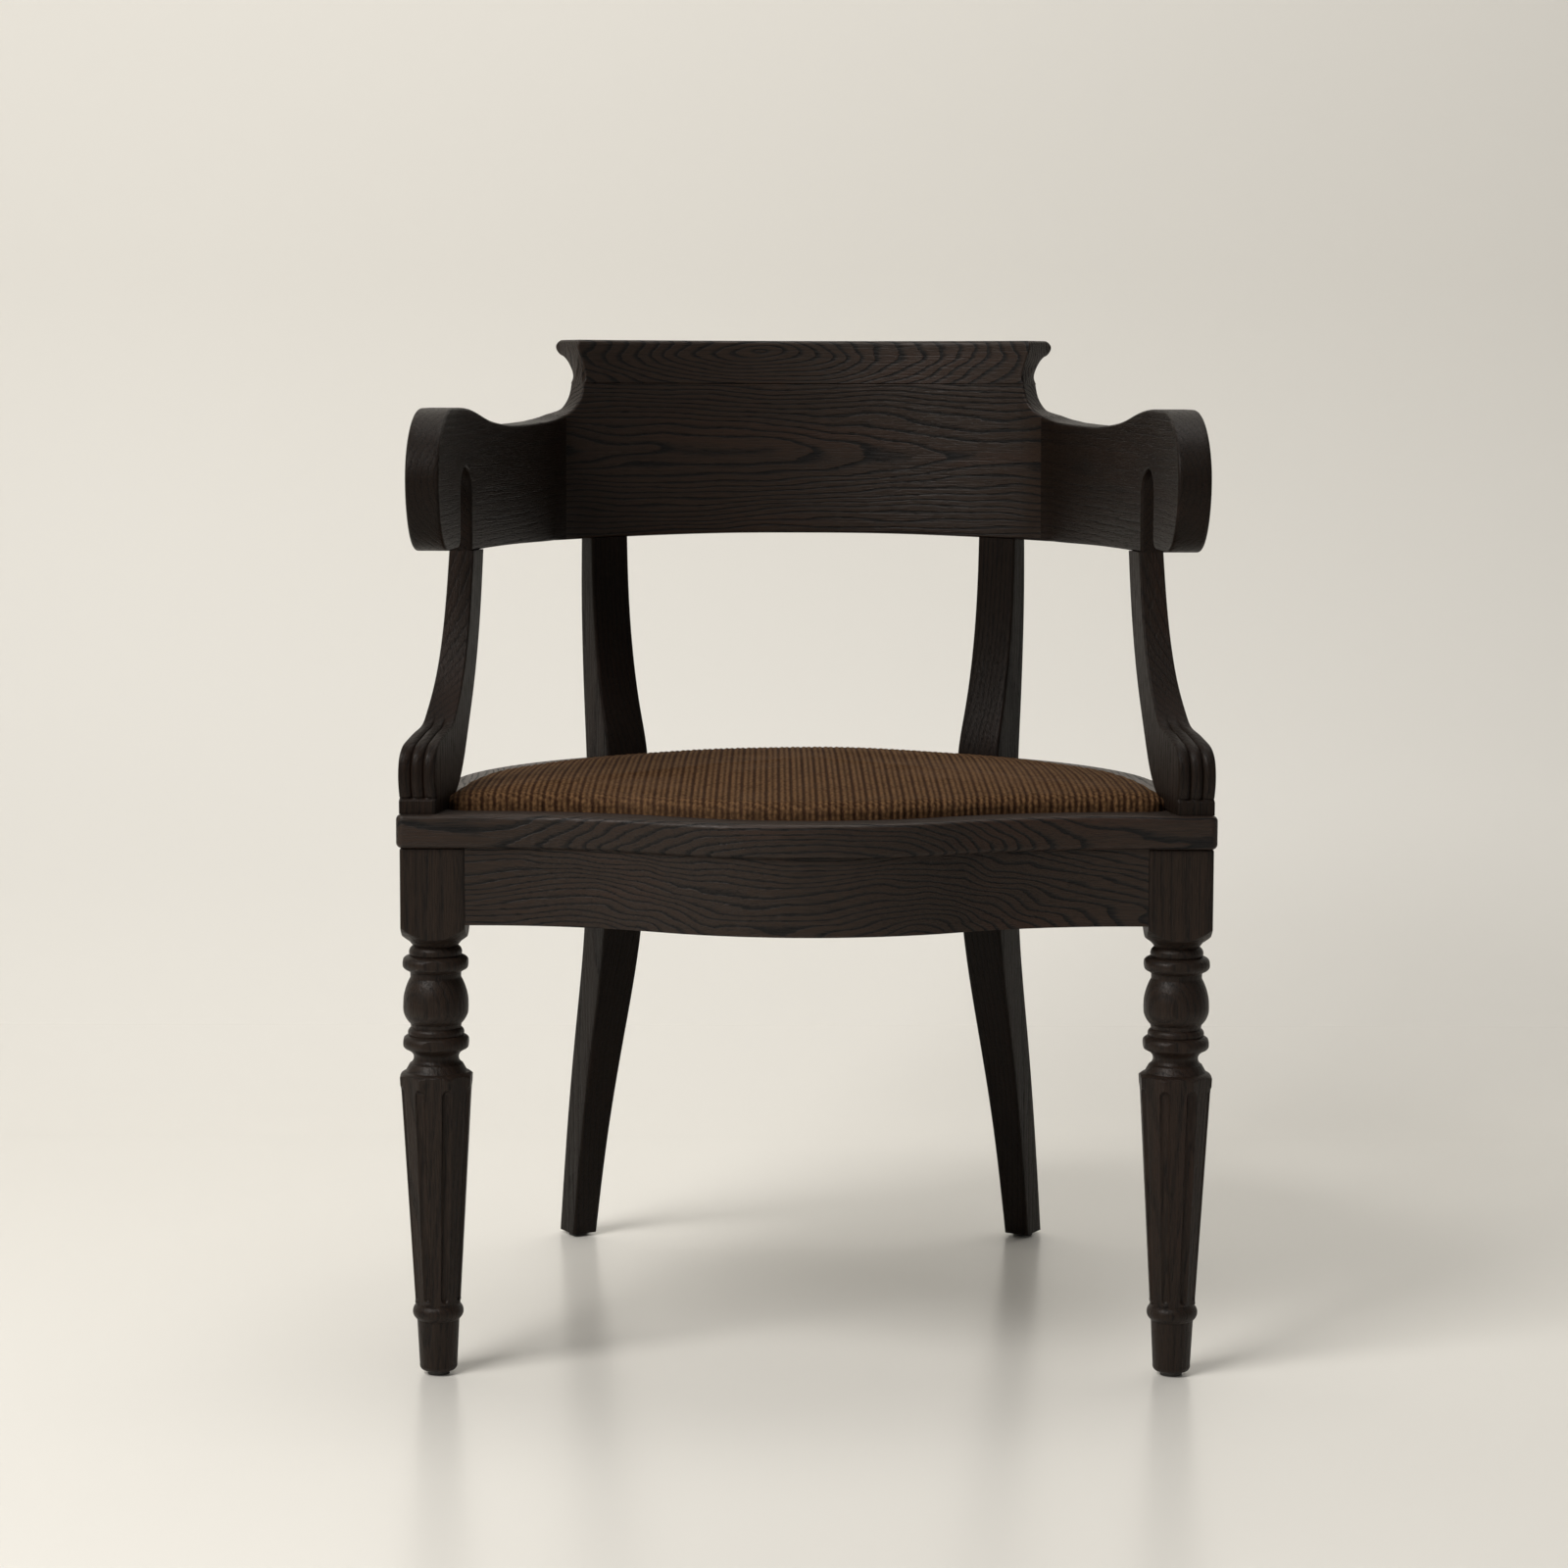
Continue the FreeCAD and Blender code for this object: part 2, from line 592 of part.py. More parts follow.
def arm_support():
    """S-shaped support with a reeded knee over a small plinth."""
    solid = support_slab(0, 1).common(support_side(0, RIM_TOP))
    front = block(200, 400, -20, 58, RIM_TOP + 11.5, RIM_TOP + 68).cut(support_side(REED_DEPTH, RIM_TOP))
    quirks = []
    for k in range(1, REEDS):
        quirks.append(support_slab(k / REEDS - QUIRK / 2, k / REEDS + QUIRK / 2).common(front))
    return solid.cut(quirks)


# Upholstered seat

BOARD_FIT = 1.0              # gap round the seat in its rebate
board_low = RIM_TOP - RIM_REBATE
seat_centre = V(0, BACK_CY + 14, 0)


def crowned(share, low, drop):
    """Crowned cushion over the seat's outline: upright sides, rounded edge, slowly rising top."""
    base = closed(outline(-COVER_INSET, CORNER_ROUND))
    flat_share = 0.95
    rings = [(1.0, low)]
    for degrees in (90, 55, 20):
        s = flat_share + (1 - flat_share) * math.sin(math.radians(degrees))
        fall = EDGE_ROUND * (1 - math.cos(math.radians(degrees)))
        rings.append((s, CROWN_TOP - CROWN_RISE * s ** 2.4 - fall - drop))
    for s in (0.82, 0.55, 0.2):
        rings.append((s, CROWN_TOP - CROWN_RISE * s ** 2.4 - drop))
    wires = []
    for s, z in rings:
        ring = base.copy()
        ring.scale(s * share, seat_centre)
        ring.translate(V(0, 0, z))
        wires.append(ring)
    return Part.makeLoft(wires, True, True)


def seat_parts():
    """Board, foam and cloth of the seat, and the dust cover under the board."""
    span = SEAT_HALF - COVER_INSET
    share = (span - CLOTH_T) / span
    outer = crowned(1.0, board_low, 0)
    inner = crowned(share, board_low, CLOTH_T)
    cloth = outer.cut(inner)
    foam = inner.cut(block(-400, 400, -200, 700, board_low - 5, board_low + BOARD_T))
    board = inner.common(block(-400, 400, -200, 700, board_low - 5, board_low + BOARD_T))
    dust = upright(outline(-RIM_WIDTH - 4, CORNER_ROUND), board_low - 1, board_low)
    return board, foam, cloth, dust


# Corner blocks and fixings

BLOCK_H = 34.0               # height of the corner blocks
BLOCK_REACH = 48.0           # how far they run along the aprons
REAR_REACH = 14.0            # the same behind, in degrees


def front_corner_block(leg_head, front, side):
    """Three-cornered block glued into the angle of the front and side aprons, notched round the leg."""
    y = -RIM_OVER - (-RIM_OVER - APRON_T)
    far = BLOCK + BLOCK_REACH
    points = [V(inner_edge - BLOCK_REACH, y - 12, 0), V(SEAT_HALF, y - 12, 0), V(SEAT_HALF, far, 0),
              V(side_x(-RIM_OVER - APRON_T, far) - 14, far, 0), V(inner_edge - BLOCK_REACH, y + 14, 0)]
    shape = upright([line(a, b) for a, b in zip(points, points[1:] + points[:1])], rim_low - BLOCK_H, rim_low)
    keep = upright(outline(-RIM_OVER - APRON_T, 2.0), 0, RIM_TOP)
    shape = shape.common(keep).cut([leg_head, front, side])
    return max(shape.Solids, key=lambda s: s.Volume)


def rear_corner_block():
    """Curved block glued inside the aprons, notched round the rear leg."""
    leg = post_slot(POST_DEPTH / 2 + 1.2, 60)
    outer = BACK_R - RIM_OVER - APRON_T
    shape = Part.makeCylinder(outer, BLOCK_H, back_centre + V(0, 0, rim_low - BLOCK_H))
    shape = shape.cut(Part.makeCylinder(outer - 36, BLOCK_H, back_centre + V(0, 0, rim_low - BLOCK_H)))
    shape = shape.common(sector(joint_turn - REAR_REACH, joint_turn + REAR_REACH, 0, RIM_TOP)).cut(leg)
    return max(shape.Solids, key=lambda s: s.Volume)


def screw(head, point):
    """Countersunk wood screw from its head to its point."""
    way = (point - head).normalize()
    cone = Part.makeCone(SCREW_HEAD_R, SCREW_R, SCREW_HEAD_R - SCREW_R, head, way)
    return joined([cone, rod(head, point, SCREW_R)])


def band_point(d, turn, z):
    return back_centre + polar(BACK_R + d, turn, z)


def dowel_lines():
    """Ends of every dowel on the right half, by group; those on the middle plane stay single."""
    mid = -RIM_OVER - APRON_T / 2
    heights = (apron_low + 15, apron_low + 43)
    half = DOWEL_L / 2
    groups = {"front_apron_dowels": [], "side_apron_dowels": [], "back_apron_dowels": [],
              "rail_joint_dowels": [], "rim_dowels": [], "tablet_dowels": []}
    for z in heights:
        y = APRON_T / 2
        groups["front_apron_dowels"].append((V(inner_edge - half, y, z), V(inner_edge + half, y, z)))
        x = side_x(mid, BLOCK)
        groups["side_apron_dowels"].append((V(x, BLOCK - half, z), V(x, BLOCK + half, z)))
        for name, sign in (("side_apron_dowels", 1), ("back_apron_dowels", -1)):
            turn = joint_turn + 4.0 * sign
            face = band_point(mid, turn, z)
            way = V(math.cos(math.radians(turn)), -math.sin(math.radians(turn)), 0) * sign
            groups[name].append((face - way * (half * 0.65), face + way * half))
    joint = bend_centre + polar(CORNER_R + RAIL_T / 2, JOINT_TURN)
    way = V(math.cos(math.radians(JOINT_TURN)), -math.sin(math.radians(JOINT_TURN)), 0)
    for z in (RAIL_BOTTOM + 22, RAIL_BOTTOM + 50, RAIL_BOTTOM + 78):
        p = joint + V(0, 0, z)
        groups["rail_joint_dowels"].append((p - way * (half * 0.7), p + way * (half * 0.7)))
    low = rim_low - 12
    high = rim_low + 13
    for y in (150, 300):
        x = side_x(mid, y)
        if y > BACK_CY:
            x = math.sqrt((BACK_R + mid) ** 2 - (y - BACK_CY) ** 2)
        groups["rim_dowels"].append((V(x, y, low), V(x, y, high)))
    for turn in (16,):
        groups["rim_dowels"].append((band_point(mid, turn, low), band_point(mid, turn, high)))
    lean = 24
    spot = bow_centre + polar(BOW_R - APRON_T / 2, 180 - lean)
    groups["rim_dowels"].append((spot + V(0, 0, low), spot + V(0, 0, high)))
    for turn in (9, 27):
        p = rail_centre + polar(RAIL_R + RAIL_T / 2, turn)
        groups["tablet_dowels"].append((p + V(0, 0, CREASE_Z - 18), p + V(0, 0, CREASE_Z + 18)))
    foot = V(SUPPORT_IN + 10.5, 19, 0)
    groups["support_foot_dowels"] = [(foot + V(0, 0, rim_low - 16), foot + V(0, 0, RIM_TOP + 20))]
    y = (SLOT_BACK + 148.4) / 2
    inside = SUPPORT_IN - SUPPORT_IN_SLOPE * y
    outside = SUPPORT_OUT - SUPPORT_OUT_SLOPE * y
    top = V((inside + outside) / 2, y, RAIL_BOTTOM)
    groups["support_top_dowels"] = [(top - V(0, 0, half), top + V(0, 0, half))]
    post = post_foot + post_plane * 22.6 + V(0, 0, RAIL_BOTTOM)
    groups["post_top_dowels"] = [(post - V(0, 0, half), post + V(0, 0, half))]
    return groups


def screw_lines():
    """Ends of the screws in the right corner blocks, and of those that hold the seat."""
    z = rim_low - BLOCK_H / 2
    front = V(inner_edge - BLOCK_REACH * 0.62, APRON_T + 20, z)
    y = BLOCK + BLOCK_REACH * 0.5
    side = V(side_x(-RIM_OVER - APRON_T, y) - 18, y, z)
    lines = [(front, front + V(0, -36, 0)), (side, side + V(34, 0, 0))]
    for sign in (-1, 1):
        turn = joint_turn + sign * REAR_REACH * 0.72
        lines.append((band_point(-RIM_OVER - APRON_T - 36, turn, z), band_point(-RIM_OVER - 6, turn, z)))
    seat = []
    for spot in (V(inner_edge - 6, BLOCK + 12, 0), back_centre + polar(BACK_R - RIM_OVER - APRON_T - 27, joint_turn - 8.5)):
        seat.append((spot + V(0, 0, rim_low - BLOCK_H), spot + V(0, 0, board_low + BOARD_T * 0.8)))
    return lines, seat


def build():
    """Every node of the chair, in place."""
    post = rear_leg()
    leg = front_leg()
    front_apron, side_apron, back_apron = aprons()
    rim_front, rim_side, rim_back = rim_parts()
    back_rail, arm = horseshoe()
    support = arm_support()
    board, foam, cloth, dust = seat_parts()
    front_block = front_corner_block(leg, front_apron, side_apron)
    rear_block = rear_corner_block()
    glides = [Part.makeCylinder(GLIDE_D / 2, GLIDE_H, V(LEG_X, BLOCK / 2, 0)),
              Part.makeCylinder(GLIDE_D / 2, GLIDE_H, post_foot + post_plane * POST[0][1])]
    single = {"front_apron": front_apron, "back_apron": back_apron, "rim_front": rim_front, "rim_back": rim_back,
              "back_rail": back_rail, "crest_tablet": tablet(), "seat_board": board, "seat_foam": foam,
              "seat_cover": cloth, "dust_cover": dust}
    paired = {"front_leg": leg, "rear_leg": post, "side_apron": side_apron, "rim_side": rim_side,
              "arm_rail": arm, "arm_support": support, "front_corner_block": front_block,
              "rear_corner_block": rear_block}
    parts = dict(single)
    for name, shape in paired.items():
        parts[name + "_right"] = shape
        parts[name + "_left"] = flip(shape)
    wood = [n for n in parts if n not in ("seat_foam", "seat_cover", "dust_cover", "seat_board")]
    for name, lines in dowel_lines().items():
        radius = DOWEL_R if "top" not in name and "tablet" not in name else DOWEL_R - 1
        right = [rod(a, b, radius) for a, b in lines]
        parts[name] = Part.makeCompound(right + [flip(s) for s in right])
        holes = []
        for a, b in lines:
            way = (b - a).normalize() * 0.6
            holes.append(rod(a - way, b + way, radius + FIT))
        drill(parts, wood, holes + [flip(h) for h in holes])
    lines, seat = screw_lines()
    for name, ends, where in (("block_screws", lines, wood), ("seat_screws", seat, wood + ["seat_board", "dust_cover"])):
        right = [screw(a, b) for a, b in ends]
        parts[name] = Part.makeCompound(right + [flip(s) for s in right])
        holes = []
        for a, b in ends:
            way = (b - a).normalize()
            holes.append(rod(a - way * 0.01, b + way * 0.5, SCREW_R + FIT))
            sink = Part.makeCone(SCREW_HEAD_R + FIT, SCREW_R + FIT, SCREW_HEAD_R - SCREW_R, a + way * FIT, way)
            holes += [sink, rod(a - way * 2, a + way * FIT, SCREW_HEAD_R + FIT)]
        drill(parts, where, holes + [flip(h) for h in holes])
    parts["glides"] = Part.makeCompound(glides + [flip(g) for g in glides])
    return parts


def drill(parts, names, holes):
    """Cut holes in each named piece that they reach."""
    for name in names:
        piece = parts[name]
        near = [h for h in holes if h.BoundBox.intersect(piece.BoundBox)]
        if near:
            parts[name] = max(piece.cut(near).Solids, key=lambda solid: solid.Volume)


def main():
    front = -BOW - RIM_OVER
    back = RAIL_CY + RAIL_R + TABLET_T
    os.makedirs("parts", exist_ok=True)
    for name, shape in sorted(build().items()):
        shape.translate(V(0, -(front + back) / 2, 0))
        shape.exportStep("parts/" + name + ".step")
        print(name, len(shape.Solids), round(shape.Volume / 1000, 1), shape.isValid())


main()
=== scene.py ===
import logging
import math
from dataclasses import dataclass, replace
from enum import Enum
from typing import Any, Optional, Sequence, Union

import bmesh
import bpy
import numpy as np
from mathutils import Matrix


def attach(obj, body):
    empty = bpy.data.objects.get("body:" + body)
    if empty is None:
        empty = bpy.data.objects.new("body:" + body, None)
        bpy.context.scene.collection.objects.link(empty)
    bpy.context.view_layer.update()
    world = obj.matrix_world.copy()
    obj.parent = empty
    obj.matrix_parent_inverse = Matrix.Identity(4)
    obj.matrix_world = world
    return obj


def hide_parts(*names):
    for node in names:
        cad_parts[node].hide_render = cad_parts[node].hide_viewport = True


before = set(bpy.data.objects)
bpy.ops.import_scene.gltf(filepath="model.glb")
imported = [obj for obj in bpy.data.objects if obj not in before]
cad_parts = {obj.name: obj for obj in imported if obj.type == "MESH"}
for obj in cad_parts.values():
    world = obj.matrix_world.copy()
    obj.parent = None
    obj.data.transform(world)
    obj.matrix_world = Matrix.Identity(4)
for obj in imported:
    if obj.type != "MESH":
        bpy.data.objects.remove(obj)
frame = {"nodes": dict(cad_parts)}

LOG = logging.getLogger("klismos")
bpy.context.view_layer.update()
FRONT_PLANE = -0.23275  # where the front face of the leg blocks lies, in metres
BULGE = 0.29  # how far the middle of a quarter circle lies from its sides, for a radius of 1
STRAIGHT = 1e5  # curve radius that stands for a straight run, in millimetres
MERGE = 2e-6  # points of a mesh that lie closer than this are joined, in metres
Array = np.ndarray
Colour = tuple[float, float, float]
Triple = tuple[float, float, float]
Mark = Sequence[float]


# Curves and surfaces

def rad(degrees: float) -> float:
    """Degrees to radians."""
    return math.radians(degrees)


def smooth_step(x: Array, low: float, high: float) -> Array:
    """Rise from 0 at low to 1 at high: 3 times the square minus 2 times the cube of the share."""
    share = np.clip((x - low) / (high - low), 0.0, 1.0)
    return share * share * (3.0 - 2.0 * share)


def flowing(points: Sequence[Mark], count: int) -> Array:
    """Smooth line through points.

    Natural cubic in each coordinate, over the summed distance between the points: the curvatures c at
    the points solve h0 c0 + 2 (h0 + h1) c1 + h1 c2 = 6 times the change of slope, with none at the ends.

    Args:
        points: the points that the line passes, two or more coordinates each.
        count: how many samples to return, evenly spaced by distance.

    Returns:
        Samples, one row each.
    """
    p = np.asarray(points, float)
    h = np.linalg.norm(np.diff(p, axis=0), axis=1)
    run = np.concatenate([[0], np.cumsum(h)])
    slope = np.diff(p, axis=0) / h[:, None]
    n = len(p)
    matrix = np.eye(n)
    inner = np.arange(1, n - 1)
    matrix[inner, inner - 1] = h[:-1]
    matrix[inner, inner] = 2 * (h[:-1] + h[1:])
    matrix[inner, inner + 1] = h[1:]
    right = np.zeros_like(p)
    right[1:-1] = 6 * np.diff(slope, axis=0)
    curve = np.linalg.solve(matrix, right)
    where = np.linspace(0, run[-1], count)
    i = np.clip(np.searchsorted(run, where, side="right") - 1, 0, n - 2)
    a, b, w = (run[i + 1] - where)[:, None], (where - run[i])[:, None], h[i][:, None]
    bend = (curve[i] * a ** 3 + curve[i + 1] * b ** 3) / (6 * w)
    return bend + (p[i] / w - curve[i] * w / 6) * a + (p[i + 1] / w - curve[i + 1] * w / 6) * b


def rounded_box_loop(half_a: Array, half_b: Array, radius: float, along: int, corner: int) -> Array:
    """Closed loop of a rectangle with rounded corners.

    A corner point lies at the corner centre plus the radius times the cosine and sine of an
    angle that turns through 90 degrees; the sides are even steps between the corners.

    Args:
        half_a: half size in the first direction, one per station.
        half_b: half size in the second direction, one per station.
        radius: corner radius.
        along: steps on each side.
        corner: steps in each corner.

    Returns:
        Array of stations by loop points by 2.
    """
    a = np.asarray(half_a, float)[:, None]
    b = np.asarray(half_b, float)[:, None]
    turn = np.linspace(0, math.pi / 2, corner + 1)
    parts = []
    for quarter, (sa, sb) in enumerate(((1, 1), (-1, 1), (-1, -1), (1, -1))):
        angle = turn + quarter * math.pi / 2
        x = sa * (a - radius) + radius * np.cos(angle)
        y = sb * (b - radius) + radius * np.sin(angle)
        parts.append(np.stack([x, y], -1))
        nsa, nsb = ((-1, 1), (-1, -1), (1, -1), (1, 1))[quarter]
        end = np.stack([x[:, -1], y[:, -1]], -1)
        nx = nsa * (a[:, 0] - radius) + radius * math.cos(angle[-1])
        ny = nsb * (b[:, 0] - radius) + radius * math.sin(angle[-1])
        goal = np.stack([nx, ny], -1)
        share = np.linspace(0, 1, along + 1)[1:-1][None, :, None]
        parts.append(end[:, None, :] * (1 - share) + goal[:, None, :] * share)
    return np.concatenate(parts, 1)


def loop_normals(loop: Array) -> Array:
    """Normals of a closed loop: the step between the two neighbours, turned a quarter clockwise.

    Args:
        loop: the loop's points; the last two directions of the array are points by 2.

    Returns:
        Unit normals of the same shape, outwards for a loop that runs anticlockwise.
    """
    step = np.roll(loop, -1, axis=-2) - np.roll(loop, 1, axis=-2)
    normal = np.stack([step[..., 1], -step[..., 0]], -1)
    return normal / np.maximum(np.linalg.norm(normal, axis=-1, keepdims=True), 1e-9)


def grid_object(name: str, points: Array, grain: Array, caps: tuple[bool, bool] = (True, True),
                angle: float = 38.0) -> bpy.types.Object:
    """Closed tube from a grid of points in millimetres, with its front plane at y = 0.

    Args:
        name: the object's name.
        points: stations by loop points by 3; each loop is closed.
        grain: the same shape; the wood's own coordinates (along, across, across), in millimetres.
        caps: whether the first and the last station get a flat cap.
        angle: edges sharper than this many degrees stay sharp.

    Returns:
        The mesh object, in metres, in the part's frame.
    """
    m, n = points.shape[:2]
    index = np.arange(m * n).reshape(m, n)
    lower, upper = index[:-1], index[1:]
    quads = np.stack([lower, np.roll(lower, -1, 1), np.roll(upper, -1, 1), upper], -1).reshape(-1, 4)
    faces = quads.tolist()
    faces += [index[0][::-1].tolist()] * caps[0] + [index[-1].tolist()] * caps[1]
    flat = points.reshape(-1, 3)
    a, b, c, d = (flat[quads[:, k]] for k in range(4))
    volume = (a * np.cross(b, c)).sum() + (a * np.cross(c, d)).sum()
    if volume < 0:
        faces = [f[::-1] for f in faces]
    return mesh_object(name, flat, faces, grain.reshape(-1, 3), angle)


def mesh_object(name: str, points: Array, faces: list, grain: Array, angle: float) -> bpy.types.Object:
    """Mesh object in the part's frame.

    Args:
        name: the object's name.
        points: the points in millimetres, one row each, with the front plane at y = 0.
        faces: lists of point numbers.
        grain: the wood's own coordinates of each point, in millimetres; they are kept as an attribute.
        angle: edges sharper than this many degrees stay sharp.

    Returns:
        The object, linked to the scene.
    """
    mesh = bpy.data.meshes.new(name)
    metres = points / 1000.0 + np.array([0.0, FRONT_PLANE, 0.0])
    mesh.from_pydata(metres.tolist(), [], faces)
    attribute = mesh.attributes.new("grain", "FLOAT_VECTOR", "POINT")
    attribute.data.foreach_set("vector", (grain / 1000.0).astype(np.float32).ravel())
    work = bmesh.new()
    work.from_mesh(mesh)
    bmesh.ops.remove_doubles(work, verts=work.verts, dist=MERGE)
    bmesh.ops.dissolve_degenerate(work, edges=work.edges, dist=1e-7)
    work.to_mesh(mesh)
    work.free()
    mesh.polygons.foreach_set("use_smooth", np.ones(len(mesh.polygons), bool))
    mesh.set_sharp_from_angle(angle=rad(angle))
    piece = bpy.data.objects.new(name, mesh)
    bpy.context.scene.collection.objects.link(piece)
    LOG.info("%s: %d points", name, len(mesh.vertices))
    return piece


def mirrored(points: Array) -> Array:
    """The same points on the other side of the chair's middle plane."""
    return points * np.array([-1.0, 1.0, 1.0])


# Shader maths

Number = Union[float, "Wire"]


class Wire:
    """A node socket that takes part in arithmetic; every operation adds one Math node."""

    def __init__(self, shop: "Shader", socket: bpy.types.NodeSocket) -> None:
        """Keeps the socket and the shader that it belongs to."""
        self.shop = shop
        self.socket = socket

    def _do(self, operation: str, *values: Number) -> "Wire":
        """One Math node on the given values."""
        return self.shop.node("ShaderNodeMath", {"operation": operation}, list(values))

    def __add__(self, other: Number) -> "Wire":
        """Sum."""
        return self._do("ADD", self, other)

    __radd__ = __add__

    def __sub__(self, other: Number) -> "Wire":
        """Difference."""
        return self._do("SUBTRACT", self, other)

    def __rsub__(self, other: Number) -> "Wire":
        """Difference, reflected."""
        return self._do("SUBTRACT", other, self)

    def __mul__(self, other: Number) -> "Wire":
        """Product."""
        return self._do("MULTIPLY", self, other)

    __rmul__ = __mul__

    def __pow__(self, other: Number) -> "Wire":
        """Power."""
        return self._do("POWER", self, other)

    def sine(self) -> "Wire":
        """Sine of a value in radians."""
        return self._do("SINE", self)

    def fraction(self) -> "Wire":
        """What is left over a whole number."""
        return self._do("FRACT", self)

    def rise(self, low: float, high: float) -> "Wire":
        """Smooth rise from 0 at low to 1 at high."""
        return self.shop.node("ShaderNodeMapRange", {"interpolation_type": "SMOOTHSTEP"},
                              {"Value": self, "From Min": low, "From Max": high})


class Shader:
    """A material under construction: one tree, one Principled BSDF."""

    def __init__(self, name: str) -> None:
        """Makes the material with its output and surface shader.

        Args:
            name: the material's name.
        """
        self.material = bpy.data.materials.new(name)
        self.material.use_nodes = True
        self.tree = self.material.node_tree
        self.tree.nodes.clear()
        self.output = self.tree.nodes.new("ShaderNodeOutputMaterial")
        self.surface = self.tree.nodes.new("ShaderNodeBsdfPrincipled")
        self.tree.links.new(self.surface.outputs[0], self.output.inputs[0])

    def node(self, kind: str, settings: Optional[dict] = None, inputs: Any = None,
             out: Union[int, str] = 0) -> Wire:
        """Any node.

        Args:
            kind: the node's type.
            settings: properties that are set first, such as a Math node's operation.
            inputs: values or wires by socket name or number, or a list in socket order.
            out: the output to return.

        Returns:
            The chosen output.
        """
        made = self.tree.nodes.new(kind)
        for key, value in (settings or {}).items():
            setattr(made, key, value)
        pairs = inputs.items() if isinstance(inputs, dict) else enumerate(inputs or [])
        for key, value in pairs:
            self.feed(made.inputs[key], value)
        return Wire(self, made.outputs[out])

    def feed(self, socket: bpy.types.NodeSocket, value: Any) -> None:
        """Links a wire to a socket, or sets the socket's own value.

        Args:
            socket: the socket to feed.
            value: a wire, a number or a colour.
        """
        if isinstance(value, Wire):
            self.tree.links.new(value.socket, socket)
        else:
            socket.default_value = value

    def open_from_behind(self) -> None:
        """Mixes in a clear shader wherever a face is seen from its back."""
        side = self.node("ShaderNodeNewGeometry", out="Backfacing")
        clear = self.node("ShaderNodeBsdfTransparent")
        choice = self.node("ShaderNodeMixShader", {}, [side, Wire(self, self.surface.outputs[0]), clear])
        self.feed(self.output.inputs[0], choice)

    def set(self, **values: Any) -> None:
        """Feeds the surface shader; an underscore in a name stands for a space."""
        for key, value in values.items():
            self.feed(self.surface.inputs[key.replace("_", " ")], value)

    def noise(self, vector: Wire, scale: float, detail: float = 2.0, roughness: float = 0.5) -> Wire:
        """Cloudy noise on a vector."""
        return self.node("ShaderNodeTexNoise", {}, {"Vector": vector, "Scale": scale, "Detail": detail,
                                                    "Roughness": roughness})

    def cloud(self, axes: tuple[Wire, Wire, Wire], scales: Mark, detail: float = 2.0,
              roughness: float = 0.5) -> Wire:
        """Noise that is stretched by a scale of its own in each direction.

        Args:
            axes: the three coordinates.
            scales: the three scales, per metre; a low one draws the noise out along its coordinate.
            detail: how many finer layers it has.
            roughness: how much they count.

        Returns:
            Its value.
        """
        stretched = self.join(*(axis * scale for axis, scale in zip(axes, scales)))
        return self.noise(stretched, 1.0, detail, roughness)

    def place(self) -> Wire:
        """The object's own coordinates, in metres."""
        return self.node("ShaderNodeTexCoord", out="Object")

    def axes(self, vector: Wire) -> tuple[Wire, Wire, Wire]:
        """The three components of a vector.

        Args:
            vector: the vector.

        Returns:
            Its components.
        """
        node = self.node("ShaderNodeSeparateXYZ", {}, [vector]).socket.node
        first, second, third = (Wire(self, socket) for socket in node.outputs)
        return first, second, third

    def join(self, x: Number, y: Number, z: Number) -> Wire:
        """A vector from three values."""
        return self.node("ShaderNodeCombineXYZ", {}, [x, y, z])

    def mix(self, share: Number, first: Any, second: Any) -> Wire:
        """Colour between two colours.

        Args:
            share: 0 for the first, 1 for the second.
            first: a colour or a wire.
            second: a colour or a wire.

        Returns:
            The mixed colour.
        """
        pair = (value if isinstance(value, Wire) else (*value, 1.0) for value in (first, second))
        return self.node("ShaderNodeMix", {"data_type": "RGBA"}, dict(zip((0, 6, 7), (share, *pair))), 2)

    def bump(self, height: Wire, distance: float, strength: float = 1.0) -> Wire:
        """Normal from a height in the given distance in metres."""
        return self.node("ShaderNodeBump", {}, {"Height": height, "Distance": distance, "Strength": strength})


# Finishes

class Grain(Enum):
    """Where a finish takes its lengthwise direction from."""

    ATTRIBUTE = "attribute"
    X = "x"
    Y = "y"
    Z = "z"


def grain_vector(shop: Shader, grain: Grain) -> Wire:
    """Coordinates in metres whose first component runs along the timber.

    Args:
        shop: the shader in the making.
        grain: the mesh's own grain attribute, or an axis of the object.

    Returns:
        The vector.
    """
    if grain is Grain.ATTRIBUTE:
        return shop.node("ShaderNodeAttribute", {"attribute_name": "grain"}, out="Vector")
    x, y, z = shop.axes(shop.place())
    return shop.join(*{Grain.X: (x, y, z), Grain.Y: (y, x, z), Grain.Z: (z, x, y)}[grain])


